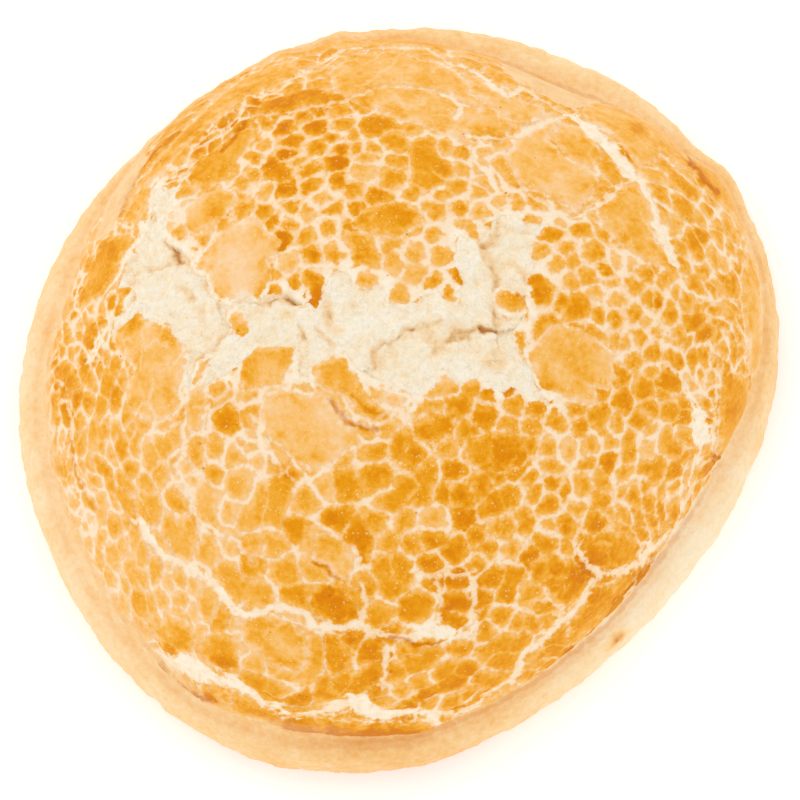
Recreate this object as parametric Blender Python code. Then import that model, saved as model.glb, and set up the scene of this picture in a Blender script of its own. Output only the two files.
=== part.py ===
"""Tiger bread roll as one solid: a low round loaf whose topping split into plates as it baked.

The top is laid out on a flat disc, where the distance from the middle is the angle down the
dome.  There it is split into cells, which are rolled on to the dome: plates of topping stand
proud of the cracks between them, and crumb fills the burst.  Rings below the topping make the
bare side, the tucked foot and the flat base.  Script lengths are millimetres, +Z is up.
"""
import math
import random

import bpy
import numpy as np
from mathutils import Matrix, Vector, geometry, noise

MM = 0.001

# The loaf
DOME_TOP = 48.1
EDGE_HEIGHT = 15.0                   # where the topping stops
EDGE_ANGLE = math.radians(78.0)      # how far round the dome the topping reaches
REACH = 57.8                         # mean half width, at the widest ring of the side
REACH_WAVES = ((1, 1.3, 129), (2, 3.3, 43), (3, 1.1, 19), (4, 0.5, 88), (5, 0.3, 29))
SIDE_WIDTHS = (4.0, 4.5, 7.5, 4.0, 1.5, 3.0, 3.9, 5.0, 5.0, 4.2, 5.2, 6.0)
SIDE_RINGS = ((0.16, 13.3), (0.48, 12.9), (0.80, 11.2), (1.0, 7.6), (1.0, 5.6))
FOOT_RINGS = ((0.9, 3.2), (2.6, 1.2), (5.2, 0.0))     # (tucked in, height)
SIDE_ROUGHNESS = 0.35
LOBES = ((-8, 31, 21, 1.3), (-2, -22, 26, 1.0), (29, 8, 15, 0.9), (-38, -3, 12, 0.8))

# The topping
CELL = 5.3                           # usual distance between cell middles
SMALL_CELLS = ((-15, 31, 17, 4.4), (38, 8, 17, 4.6), (-45, -8, 12, 4.5), (9, 31, 9, 4.4))
EDGE_CELL = 4.9
JOINED_SHARE = 0.22                  # cells that stay joined to a neighbour
PLATE_LIFT = 0.75
PLATE_TILT = 0.035
CRACK_HALF = 0.38
CRACK_DEPTH = 0.45
LIP_LIFT = 0.55                      # how far plates curl up beside the burst
MERGE = 0.6                          # corners closer than this become one

# Plates wider than a cell: middle x, y and half widths
WIDE_PLATES = (
    (-24.6, 13.0, 5.4, 5.6), (-36.7, 0.4, 4.6, 6.2), (-18.8, -3.9, 3.8, 3.4),
    (-10.8, -9.6, 6.3, 2.6), (23.3, -2.1, 5.6, 5.8), (24.1, 28.2, 6.4, 6.2),
    (33.3, 21.0, 3.6, 4.6), (-2.2, 19.3, 4.4, 2.6), (-0.7, 44.0, 6.4, 3.2),
    (14.1, -14.4, 3.8, 3.6), (-9.7, -34.6, 3.2, 3.0), (-18.6, -33.0, 4.6, 2.4),
    (-32.9, -36.5, 3.6, 3.0), (33.0, -26.0, 3.4, 2.0), (3.0, -45.0, 5.0, 2.6),
)

# The burst: outline and the pieces of topping left inside it
BURST = (
    (-37.1, 27.6), (-32.8, 26.4), (-35.3, 19.4), (-30.6, 14.6), (-28.2, 9.8), (-23.8, 7.2),
    (-16.7, 8.9), (-11.6, 5.8), (-9.6, 10.9), (-6.6, 9.8), (-2.0, 7.6), (3.6, 7.6),
    (8.0, 6.6), (8.0, 14.6), (13.4, 19.0), (20.6, 19.0), (19.0, 14.0), (17.6, 4.0),
    (17.4, -1.6), (21.6, -8.0), (15.6, -6.0), (9.0, -4.6), (2.4, -7.0), (-4.6, -4.6),
    (-9.0, -1.6), (-13.6, -4.6), (-15.6, -0.2), (-20.6, 0.2), (-28.2, -4.6), (-31.0, -4.0),
    (-33.0, 3.6), (-37.4, 6.2), (-42.0, 5.4), (-40.0, 11.6), (-41.2, 16.0), (-37.6, 21.0),
)
ISLANDS = ((-23.4, 4.2, 1.9), (16.2, 7.6, 1.6))
PAIR_STEP = 3.4
PAIR_GAP = 1.35
CRUMB_CELL = 2.9
CRUMB_DEPTH = 1.2
CRUMB_ROUGHNESS = 1.5
CRUMB_WAVELENGTH = 6.5
SLIT = ((-4.9, -2.5), (0.3, 1.2), (5.3, 3.3), (13.5, 2.6))
SLIT_HALF = 2.2
SLIT_DEPTH = 1.6

# Tears that run between plates: half width, then the line they follow
TEARS = (
    (0.5, ((-13.0, 46.0), (-6.0, 49.0), (4.3, 49.6), (11.4, 45.2), (16.1, 41.3))),
    (0.4, ((16.1, 41.3), (18.8, 43.5), (26.3, 39.5))),
    (0.9, ((26.3, 39.5), (31.9, 34.2), (36.4, 27.9), (37.9, 21.2), (41.0, 14.6))),
    (0.5, ((26.3, 39.5), (19.1, 34.9), (9.8, 32.9))),
    (0.6, ((11.0, 29.1), (14.7, 23.6), (20.1, 23.4), (25.3, 20.1), (31.2, 25.6))),
    (0.4, ((-37.4, 28.5), (-32.0, 30.4), (-29.3, 35.0), (-20.2, 37.8), (-12.0, 36.8))),
    (0.4, ((-30.9, -4.9), (-31.5, -13.2), (-29.8, -22.4), (-21.1, -30.2))),
    (0.4, ((-21.4, -9.5), (-14.0, -19.8))),
    (0.5, ((-38.6, -22.5), (-30.2, -30.8), (-22.3, -37.3), (-12.1, -38.4), (10.3, -39.8))),
    (0.6, ((-36.0, -39.0), (-26.9, -44.6), (-16.1, -49.6), (5.0, -50.2))),
    (0.5, ((24.7, -26.9), (28.1, -31.1), (37.3, -25.5))),
    (0.4, ((28.1, -31.1), (16.2, -44.6))),
)
TEAR_STEP = 4.6
TEAR_GAP = 2.0

CRUMB = -1
OUTSIDE = -2
GOLDEN = (0.86, 0.50, 0.13, 1.0)


def clear_scene():
    for item in list(bpy.data.objects):
        bpy.data.objects.remove(item, do_unlink=True)


def around(values, angle):
    """Smooth value at an angle, from values spaced evenly round the loaf from +X."""
    place = angle / math.tau * len(values)
    start = math.floor(place)
    part = place - start
    before, here, there, after = (values[(start + k) % len(values)] for k in (-1, 0, 1, 2))
    bend = (2 * before - 5 * here + 4 * there - after) * part ** 2
    twist = (3 * here - before - 3 * there + after) * part ** 3
    return here + 0.5 * ((there - before) * part + bend + twist)


def reach(angle):
    """Half width of the loaf at an angle."""
    waves = (swing * math.cos(n * (angle - math.radians(crest))) for n, swing, crest in REACH_WAVES)
    return REACH + sum(waves)


def edge_radius(angle):
    """Distance from the axis to the edge of the topping."""
    return reach(angle) - around(SIDE_WIDTHS, angle)


def lay_flat(x, y):
    """The place on the flat disc of a point of the dome seen from above."""
    angle = math.atan2(y, x)
    share = min(1.0, math.hypot(x, y) / edge_radius(angle))
    down = math.asin(share * math.sin(EDGE_ANGLE))
    return Vector((math.cos(angle), math.sin(angle))) * REACH * down


def shrink(place):
    """How much shorter a length is on the dome than on the flat disc."""
    down = max(place.length / REACH, 1e-3)
    return math.sin(down) / down


def from_above(place):
    """The point of the dome, seen from above, that a place on the flat disc stands for."""
    angle = math.atan2(place.y, place.x)
    radius = edge_radius(angle) * math.sin(place.length / REACH) / math.sin(EDGE_ANGLE)
    return Vector((math.cos(angle), math.sin(angle))) * radius


def on_dome(place, lift):
    """The point of the dome, lifted along its normal."""
    angle = math.atan2(place.y, place.x)
    down = place.length / REACH
    spot = from_above(place)
    rise = DOME_TOP - EDGE_HEIGHT
    height = (math.cos(down) - math.cos(EDGE_ANGLE)) / (1 - math.cos(EDGE_ANGLE))
    swell = sum(
        high * math.exp(-((spot.x - x) ** 2 + (spot.y - y) ** 2) / wide ** 2)
        for x, y, wide, high in LOBES
    )
    fade = 1 - (down / EDGE_ANGLE) ** 4
    point = Vector((spot.x, spot.y, EDGE_HEIGHT + rise * height))
    slope = Vector((rise * math.sin(down), REACH * math.cos(down))).normalized()
    normal = Vector((slope.x * math.cos(angle), slope.x * math.sin(angle), slope.y))
    return point + normal * (lift + swell * fade)


def walk(line, step):
    """Points at even steps along a line, each with the direction of the line there."""
    for start, end in zip(line, line[1:]):
        run = Vector(end) - Vector(start)
        count = max(1, round(run.length / step))
        for k in range(count):
            yield Vector(start) + run * (k + 0.5) / count, run.normalized()


def distance_to(line, spot):
    """Distance from a point to a line of straight stretches."""
    best = math.inf
    for start, end in zip(line, line[1:]):
        near, share = geometry.intersect_point_line(spot, Vector(start), Vector(end))
        near = Vector(start).lerp(Vector(end), min(1.0, max(0.0, share)))
        best = min(best, (spot - near.xy).length)
    return best


def in_burst(spot):
    """Whether a point seen from above lies in the burst, off the topping left inside it."""
    inside = False
    for (x0, y0), (x1, y1) in zip(BURST, BURST[1:] + BURST[:1]):
        if (y0 > spot.y) != (y1 > spot.y) and spot.x < x0 + (spot.y - y0) * (x1 - x0) / (y1 - y0):
            inside = not inside
    return inside and all((spot - Vector((x, y))).length > half for x, y, half in ISLANDS)


def cell_size(spot):
    """Distance between cell middles near a point."""
    if in_burst(spot):
        return CRUMB_CELL
    for x, y, wide, size in SMALL_CELLS:
        if (spot - Vector((x, y))).length < wide:
            return size
    return CELL


class Cells:
    """Cell middles on the flat disc, each with the plate that it belongs to."""

    def __init__(self):
        self.places = []
        self.spots = []
        self.plates = []
        self.rooms = []
        self.next_plate = 0

    def new_plate(self):
        self.next_plate += 1
        return self.next_plate

    def add(self, place, plate, room):
        self.places.append(place)
        self.spots.append(from_above(place))
        self.plates.append(plate)
        self.rooms.append(room)

    def nearest(self, place):
        """Distance on the dome to the nearest cell, and which cell that is."""
        if not self.places:
            return math.inf, 0
        gaps = np.hypot(*(np.array(self.places) - np.array(place)).T)
        index = int(gaps.argmin())
        return gaps[index] * shrink(place), index

    def try_add(self, place, plate, room):
        """Add a cell unless one is already closer than its room."""
        if self.nearest(place)[0] >= room:
            self.add(place, plate, room)


def place_edge_cells(cells, rng):
    """Pairs of middles either side of the topping's edge, so that cells end on it."""
    rim = REACH * EDGE_ANGLE
    count = round(math.tau * REACH / EDGE_CELL)
    for k in range(count):
        angle = math.tau * (k + rng.uniform(-0.2, 0.2)) / count
        ray = Vector((math.cos(angle), math.sin(angle)))
        gap = EDGE_CELL * rng.uniform(0.5, 0.8)
        cells.add(ray * (rim - gap), cells.new_plate(), EDGE_CELL)
        cells.add(ray * (rim + gap), OUTSIDE, EDGE_CELL)


def place_pairs(cells, line, step, gap, sides):
    """Pairs of middles either side of a line, so that cells meet along it."""
    for spot, along in walk(line, step):
        across = Vector((-along.y, along.x)) * gap
        for sign, crumb in zip((1, -1), sides):
            place = lay_flat(*(spot + across * sign))
            cells.try_add(place, CRUMB if crumb else cells.new_plate(), gap * 1.3)


def place_wide_plates(cells):
    """Middles that share a plate, one ring of them round the middle of each wide plate."""
    for x, y, half_x, half_y in WIDE_PLATES:
        plate = cells.new_plate()
        cells.try_add(lay_flat(x, y), plate, PAIR_GAP)
        count = round((half_x + half_y) / 1.7)
        for k in range(count):
            turn = math.tau * k / count
            spot = Vector((x + 0.62 * half_x * math.cos(turn), y + 0.62 * half_y * math.sin(turn)))
            cells.try_add(lay_flat(*spot), plate, PAIR_GAP * 1.6)


def scatter(cells, rng, throws):
    """Fill what is left by throwing middles that keep their room from all others."""
    for _ in range(throws):
        radius = REACH * EDGE_ANGLE * math.sqrt(rng.random())
        angle = rng.uniform(0, math.tau)
        place = Vector((math.cos(angle), math.sin(angle))) * radius
        spot = from_above(place)
        room = cell_size(spot) * rng.uniform(0.78, 1.1)
        gap, other = cells.nearest(place)
        if gap < room * 0.93:
            continue
        if in_burst(spot):
            plate = CRUMB
        elif rng.random() < JOINED_SHARE and cells.plates[other] > 0:
            plate = cells.plates[other]
        else:
            plate = cells.new_plate()
        cells.add(place, plate, room)


def circle_middle(a, b, c):
    """Middle of the circle through three points."""
    ab, ac = b - a, c - a
    area = 2 * ab.cross(ac)
    return a + Vector((
        ac.y * ab.length_squared - ab.y * ac.length_squared,
        ab.x * ac.length_squared - ac.x * ab.length_squared,
    )) / area


def cut_cells(cells):
    """Corners of the cells, and each cell's corners in order round its middle."""
    result = geometry.delaunay_2d_cdt(cells.places, [], [], 0, 1e-7)
    middles, triangles, sources = result[0], result[2], result[3]
    corners = []
    rings = [[] for _ in cells.places]
    for triangle in triangles:
        corner = circle_middle(*(middles[k] for k in triangle))
        near = [k for k, other in enumerate(corners) if (other - corner).length < MERGE]
        index = near[0] if near else len(corners)
        if not near:
            corners.append(corner)
        for k in triangle:
            owner = sources[k][0]
            rings[owner].append((math.atan2(*(corner - cells.places[owner]).yx), index))
    ordered = []
    for ring in rings:
        order = [index for _, index in sorted(ring)]
        ordered.append([k for n, k in enumerate(order) if k != order[n - 1]])
    return corners, ordered


def crack_half(spot):
    """Half width of the crack at a point seen from above."""
    tear = max(half * math.exp(-(distance_to(line, spot) / 1.6) ** 2) for half, line in TEARS)
    return CRACK_HALF + tear


def crumb_lift(spot):
    """Height of the crumb against the dome."""
    rough = noise.fractal((spot / CRUMB_WAVELENGTH).to_3d(), 0.6, 2.1, 3) * CRUMB_ROUGHNESS
    slit = math.exp(-(distance_to(SLIT, spot) / SLIT_HALF) ** 2) * SLIT_DEPTH
    return rough - CRUMB_DEPTH - slit


class Solid:
    """The loaf's mesh: points on the dome, and faces between them."""

    def __init__(self):
        self.points = []
        self.faces = []

    def point(self, vector):
        self.points.append(vector)
        return len(self.points) - 1

    def face(self, ring):
        ring = [k for n, k in enumerate(ring) if k != ring[n - 1]]
        if len(ring) > 2:
            self.faces.append(ring)


def edge_owners(cells, rings):
    """The cell on the left of each edge, for cells of the topping and the crumb."""
    owners = {}
    for cell, ring in enumerate(rings):
        if cells.plates[cell] != OUTSIDE and len(ring) > 2:
            for n, corner in enumerate(ring):
                owners[ring[n - 1], corner] = cell
    return owners


def plate_insets(cells, corners, owners):
    """How far each plate's corner draws back from the cracks that meet there."""
    pulls = {}
    for (start, end), cell in owners.items():
        plate = cells.plates[cell]
        across = owners.get((end, start))
        if plate == CRUMB or (across is not None and cells.plates[across] == plate):
            continue
        along = (corners[end] - corners[start]).normalized()
        for corner in (start, end):
            pulls.setdefault((corner, plate), []).append(Vector((-along.y, along.x)))
    insets = {}
    for (corner, plate), normals in pulls.items():
        place = corners[corner]
        half = crack_half(from_above(place)) / shrink(place)
        total = Matrix(((0.12, 0), (0, 0.12)))
        for normal in normals:
            for row in range(2):
                for column in range(2):
                    total[row][column] += normal[row] * normal[column]
        inset = total.inverted() @ sum(normals, Vector((0, 0))) * half
        insets[corner, plate] = inset * min(1.0, 2.0 * half / max(inset.length, 1e-6))
    return insets


def build_top(solid, cells, corners, rings, rng):
    """Faces of the crumb, the plates and the cracks; returns the corner on the edge ring."""
    owners = edge_owners(cells, rings)
    insets = plate_insets(cells, corners, owners)
    beside_crumb = {k for edge, cell in owners.items() if cells.plates[cell] == CRUMB for k in edge}
    leans = {}
    low = {}
    high = {}

    def low_point(corner):
        if corner not in low:
            place = corners[corner]
            crumb = crumb_lift(from_above(place)) if corner in beside_crumb else 0.0
            depth = CRACK_DEPTH + 0.6 * (crack_half(from_above(place)) - CRACK_HALF)
            low[corner] = solid.point(on_dome(place, min(crumb, -depth)))
        return low[corner]

    def high_point(corner, plate, middle):
        if (corner, plate) not in high:
            lean = leans.setdefault(plate, (middle, Vector((rng.uniform(-1, 1), rng.uniform(-1, 1)))))
            place = corners[corner] + insets.get((corner, plate), Vector((0, 0)))
            tilt = (place - lean[0]).dot(lean[1]) * PLATE_TILT
            lip = LIP_LIFT if corner in beside_crumb else 0.0
            lift = min(PLATE_LIFT + tilt + lip, 1.5 * PLATE_LIFT + lip)
            high[corner, plate] = solid.point(on_dome(place, lift))
        return high[corner, plate]

    for cell, ring in enumerate(rings):
        plate = cells.plates[cell]
        middle = cells.places[cell]
        if plate == OUTSIDE or len(ring) < 3:
            continue
        if plate == CRUMB:
            knob = solid.point(on_dome(middle, crumb_lift(cells.spots[cell]) + rng.uniform(-0.2, 0.8)))
            for n, corner in enumerate(ring):
                solid.face([low_point(ring[n - 1]), low_point(corner), knob])
            continue
        solid.face([high_point(corner, plate, middle) for corner in ring])
        for n, corner in enumerate(ring):
            back = ring[n - 1]
            across = owners.get((corner, back))
            if across is None or cells.plates[across] != plate:
                top = [high_point(corner, plate, middle), high_point(back, plate, middle)]
                solid.face([low_point(back), low_point(corner)] + top)
    rim = {k for edge in owners if edge[::-1] not in owners for k in edge}
    return [low[k] for k in sorted(rim, key=lambda k: math.atan2(*corners[k].yx))]


def build_side(solid, edge):
    """Rings of the bare side and the foot below the topping, closed by the flat base."""
    angles = [math.atan2(*solid.points[k].yx) for k in edge]
    above = edge
    rings = [(share, 0.0, height) for share, height in SIDE_RINGS]
    rings += [(1.0, tuck, height) for tuck, height in FOOT_RINGS]
    for share, tuck, height in rings:
        ring = []
        for angle in angles:
            ray = Vector((math.cos(angle), math.sin(angle)))
            rough = noise.noise((ray * 9.0).to_3d() + Vector((0, 0, height * 0.3)))
            radius = edge_radius(angle) + share * around(SIDE_WIDTHS, angle) - tuck
            radius += rough * SIDE_ROUGHNESS * (height > 0)
            ring.append(solid.point(Vector((*(ray * radius), height))))
        for n in range(len(ring)):
            solid.face([above[n - 1], ring[n - 1], ring[n], above[n]])
        above = ring
    solid.face(above[::-1])


def make_roll():
    """The whole loaf, with its box centred on the origin and its base at height 0."""
    rng = random.Random(11)
    cells = Cells()
    place_edge_cells(cells, rng)
    place_pairs(cells, BURST + BURST[:1], PAIR_STEP, -PAIR_GAP, (False, True))
    for _, line in TEARS:
        place_pairs(cells, line, TEAR_STEP, TEAR_GAP, (False, False))
    place_wide_plates(cells)
    scatter(cells, rng, 9000)
    corners, rings = cut_cells(cells)
    solid = Solid()
    build_side(solid, build_top(solid, cells, corners, rings, rng))

    lows = [min(point[axis] for point in solid.points) for axis in range(3)]
    highs = [max(point[axis] for point in solid.points) for axis in range(3)]
    shift = Vector((-(lows[0] + highs[0]) / 2, -(lows[1] + highs[1]) / 2, 0))
    mesh = bpy.data.meshes.new("roll")
    mesh.from_pydata([(point + shift) * MM for point in solid.points], [], solid.faces)
    mesh.shade_smooth()
    roll = bpy.data.objects.new("roll", mesh)
    bpy.context.collection.objects.link(roll)
    return roll


def golden_crust():
    """Baked topping: warm gold and nearly matt."""
    material = bpy.data.materials.new("golden crust")
    material.use_nodes = True
    surface = material.node_tree.nodes["Principled BSDF"]
    surface.inputs["Base Color"].default_value = GOLDEN
    surface.inputs["Roughness"].default_value = 0.62
    surface.inputs["Metallic"].default_value = 0.0
    return material


clear_scene()
make_roll().data.materials.append(golden_crust())
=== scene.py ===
"""Tiger bread roll: the finished surfaces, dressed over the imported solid."""
import math

import bpy
import numpy as np
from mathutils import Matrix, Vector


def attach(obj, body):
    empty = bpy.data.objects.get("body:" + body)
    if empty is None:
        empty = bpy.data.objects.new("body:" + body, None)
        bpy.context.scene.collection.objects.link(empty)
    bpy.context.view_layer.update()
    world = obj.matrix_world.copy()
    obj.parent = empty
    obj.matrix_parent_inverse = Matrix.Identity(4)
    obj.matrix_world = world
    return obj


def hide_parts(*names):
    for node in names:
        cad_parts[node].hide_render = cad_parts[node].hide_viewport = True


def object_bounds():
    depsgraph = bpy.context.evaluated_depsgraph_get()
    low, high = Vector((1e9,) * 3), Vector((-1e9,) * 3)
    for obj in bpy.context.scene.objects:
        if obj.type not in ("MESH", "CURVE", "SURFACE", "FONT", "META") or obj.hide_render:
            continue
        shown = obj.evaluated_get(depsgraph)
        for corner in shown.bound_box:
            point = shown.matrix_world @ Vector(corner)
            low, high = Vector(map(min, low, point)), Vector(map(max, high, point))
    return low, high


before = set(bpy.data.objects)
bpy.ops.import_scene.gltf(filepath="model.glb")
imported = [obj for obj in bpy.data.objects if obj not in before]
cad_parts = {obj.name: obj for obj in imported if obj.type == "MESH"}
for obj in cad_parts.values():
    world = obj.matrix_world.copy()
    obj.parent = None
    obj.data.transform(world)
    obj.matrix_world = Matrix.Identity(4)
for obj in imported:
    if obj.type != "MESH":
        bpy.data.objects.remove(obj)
cad_low, cad_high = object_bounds()


# The bare side.  The dough below the topping is a soft roll of skin that swells out past the
# topping, tucks under, and meets the tray.  It is proved and baked as one with the loaf, and
# all its lengths here are in millimetres.
MM = 0.001
LOAF_TOP = (cad_high.z - cad_low.z) / MM - 1.95
EDGE_HEIGHT = 15.0
EDGE_ANGLE = math.radians(78.0)
# Half width of the loaf.  Waves on it: how many round, how high, and where they crest, in
# degrees from +X.  Knocks in it: where, how many degrees wide, and how high
REACH = 57.8
REACH_WAVES = ((1, 1.3, 129), (2, 3.3, 43), (3, 1.1, 19), (4, 0.5, 88), (5, 0.3, 29))
REACH_KNOCKS = ((33, 4, 0.8), (40, 3, -0.7), (100, 3, 0.7), (110, 4, 0.6), (274, 5, 0.5))
# Width of the bare side, every 15 degrees round from +X
SIDE_WIDTHS = (
    4.1, 2.7, 2.9, 4.2, 6.6, 5.6, 4.0, 2.6, 1.5, 2.0, 3.4, 5.2,
    4.5, 4.7, 4.2, 4.4, 3.8, 4.9, 4.6, 4.2, 4.2, 4.4, 5.6, 5.4,
)
# Knots down the side: share of its width, further out by, and height
SIDE_PROFILE = (
    (0.0, -4.8, 22.5), (0.0, -2.1, 18.0), (0.0, -0.7, 15.2), (0.14, 0.0, 13.3),
    (0.48, 0.0, 12.9), (0.80, 0.0, 11.2), (1.0, 0.0, 7.6), (1.0, -0.1, 5.6),
    (1.0, -0.9, 3.2), (1.0, -2.6, 1.2), (1.0, -5.2, 0.0), (1.0, -7.2, 0.05),
)
# How much warmer the skin is, every 30 degrees round
SIDE_WARMTH = (0.30, 0.34, 0.20, 0.36, 0.30, 0.26, 0.18, 0.18, 0.28, 0.42, 0.16, -0.06)
# How brown the side is at these heights
BROWNING = ((0.0, 1.5, 4.0, 7.5), (0.72, 0.56, 0.32, 0.10))
# A scorched spot on the side
SCORCH = (33.7, -38.9, 11.8)
SCORCH_SIZE = 1.5
SCORCH_DEPTH = 0.75
# Every 30 degrees round, how strong the painted shade is along the seam where the topping ends, and how
# softly the topping fades out there.  The seam's place and half width are counted in the profile's
# knots
SEAM_SHADE = (0.3, 0.4, 0.9, 0.6, 0.4, 0.2, 0.0, 0.0, 0.1, 0.9, 0.9, 0.9)
SEAM_KNOT, SEAM_HALF = 2.9, 0.42
FADING = (0.25, 0.6, 0.5, 0.2, 0.3, 0.5, 0.8, 1.0, 0.9, 0.0, 0.0, 0.0)
# Broad swells of the dome: middle x and y, radius, and height
LOBES = ((-8, 31, 21, 1.3), (-2, -22, 26, 1.0), (29, 8, 15, 0.9), (-38, -3, 12, 0.8))
# Large odd numbers that spread neighbouring places apart
SPREAD = np.array((374761393, 668265263, 2147483647))


def curve(before, here, there, after, part):
    """Smooth curve through even knots, a part of the way from here to there."""
    bend = (2 * before - 5 * here + 4 * there - after) * part ** 2
    twist = (3 * here - before - 3 * there + after) * part ** 3
    return here + 0.5 * ((there - before) * part + bend + twist)


def around(values, angle):
    """Smooth value at each angle, from values spaced evenly round the loaf from +X."""
    values = np.array(values)
    place = np.asarray(angle) / math.tau * len(values)
    start = np.floor(place).astype(int)
    return curve(*(values[(start + k) % len(values)] for k in (-1, 0, 1, 2)), place - start)


def reach(angle):
    """Half width of the loaf at each angle."""
    total = REACH
    for count, swing, crest in REACH_WAVES:
        total = total + swing * np.cos(count * (angle - math.radians(crest)))
    for place, wide, high in REACH_KNOCKS:
        away = np.degrees(np.abs((angle - math.radians(place) + math.pi) % math.tau - math.pi))
        total = total + high * np.exp(-((away / wide) ** 2))
    return total


def edge_radius(angle):
    """Distance from the axis to the edge of the topping."""
    return reach(angle) - around(SIDE_WIDTHS, angle)


def scramble(code):
    """Whole numbers stirred so that near ones end up far apart."""
    return (code ^ code >> 13) * 1274126177 & 0x7FFFFFFF


def noise(points, wavelength, seed):
    """Smooth gradient noise, about -1 to 1, with swells a wavelength apart."""
    cell = np.asarray(points, float) / wavelength + seed * 17.31
    corner = np.floor(cell)
    part = cell - corner
    corner = corner.astype(np.int64)
    ease = part ** 3 * (part * (part * 6 - 15) + 10)
    total = np.zeros(len(cell))
    for step in range(8):
        offset = np.array((step & 1, step >> 1 & 1, step >> 2 & 1))
        spot = corner + offset
        code = scramble(spot @ SPREAD + seed * 974711)
        code = (code ^ code >> 11) * 668265261 & 0x7FFFFFFF
        slopes = np.stack([(code >> shift & 1023) / 511.5 - 1 for shift in (0, 10, 20)], axis=1)
        weight = np.prod(np.where(offset, ease, 1 - ease), axis=1)
        total += weight * ((part - offset) * slopes).sum(axis=1)
    return total * 1.5


def rough(points, wavelength, octaves, seed):
    """Noise with finer and fainter noise on top of it."""
    return sum(noise(points, wavelength / 2.1 ** k, seed + k) * 0.55 ** k for k in range(octaves))


def smooth_step(low, high, value):
    """0 below low, 1 above high, and an easy rise between."""
    share = np.clip((value - low) / (high - low), 0, 1)
    return share * share * (3 - 2 * share)


def ring_points(radius, angle, height):
    """Points round the axis, ring after ring."""
    return np.stack([radius * np.cos(angle), radius * np.sin(angle), height], axis=2).reshape(-1, 3)


def ring_faces(turns, steps):
    """Four-cornered faces between rings of points."""
    ring = np.arange(steps - 1)[:, None] * turns
    column = np.arange(turns)
    onward = (column + 1) % turns
    corners = (ring + column, ring + turns + column, ring + turns + onward, ring + onward)
    return np.stack(corners, axis=2).reshape(-1, 4)


def skin(name, points, faces, finish, **values):
    """A mesh piece of the roll from points in millimetres, with a number at each point."""
    mesh = bpy.data.meshes.new(name)
    points = np.asarray(points, np.float32) * MM
    faces = np.asarray(faces, np.int32)
    mesh.vertices.add(len(points))
    mesh.vertices.foreach_set("co", points.ravel())
    mesh.loops.add(faces.size)
    mesh.loops.foreach_set("vertex_index", faces.ravel())
    mesh.polygons.add(len(faces))
    mesh.polygons.foreach_set("loop_start", np.arange(0, faces.size, faces.shape[1], dtype=np.int32))
    mesh.update(calc_edges=True)
    mesh.shade_smooth()
    for label, numbers in values.items():
        layer = mesh.attributes.new(label, "FLOAT", "POINT")
        layer.data.foreach_set("value", np.asarray(numbers, np.float32))
    mesh.materials.append(finish)
    piece = bpy.data.objects.new(name, mesh)
    bpy.context.collection.objects.link(piece)
    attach(piece, "root")
    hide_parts("roll")
    return piece


class Value:
    """A node's socket, so that shader maths reads as a plain sum."""

    def __init__(self, finish, socket):
        self.finish = finish
        self.socket = socket

    def math(self, operation, first, second):
        return self.finish.node("ShaderNodeMath", {"operation": operation}, {0: first, 1: second})

    def __add__(self, other):
        return self.math("ADD", self, other)

    def __sub__(self, other):
        return self.math("SUBTRACT", self, other)

    def __rsub__(self, other):
        return self.math("SUBTRACT", other, self)

    def __mul__(self, other):
        return self.math("MULTIPLY", self, other)

    __radd__ = __add__
    __rmul__ = __mul__


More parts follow.
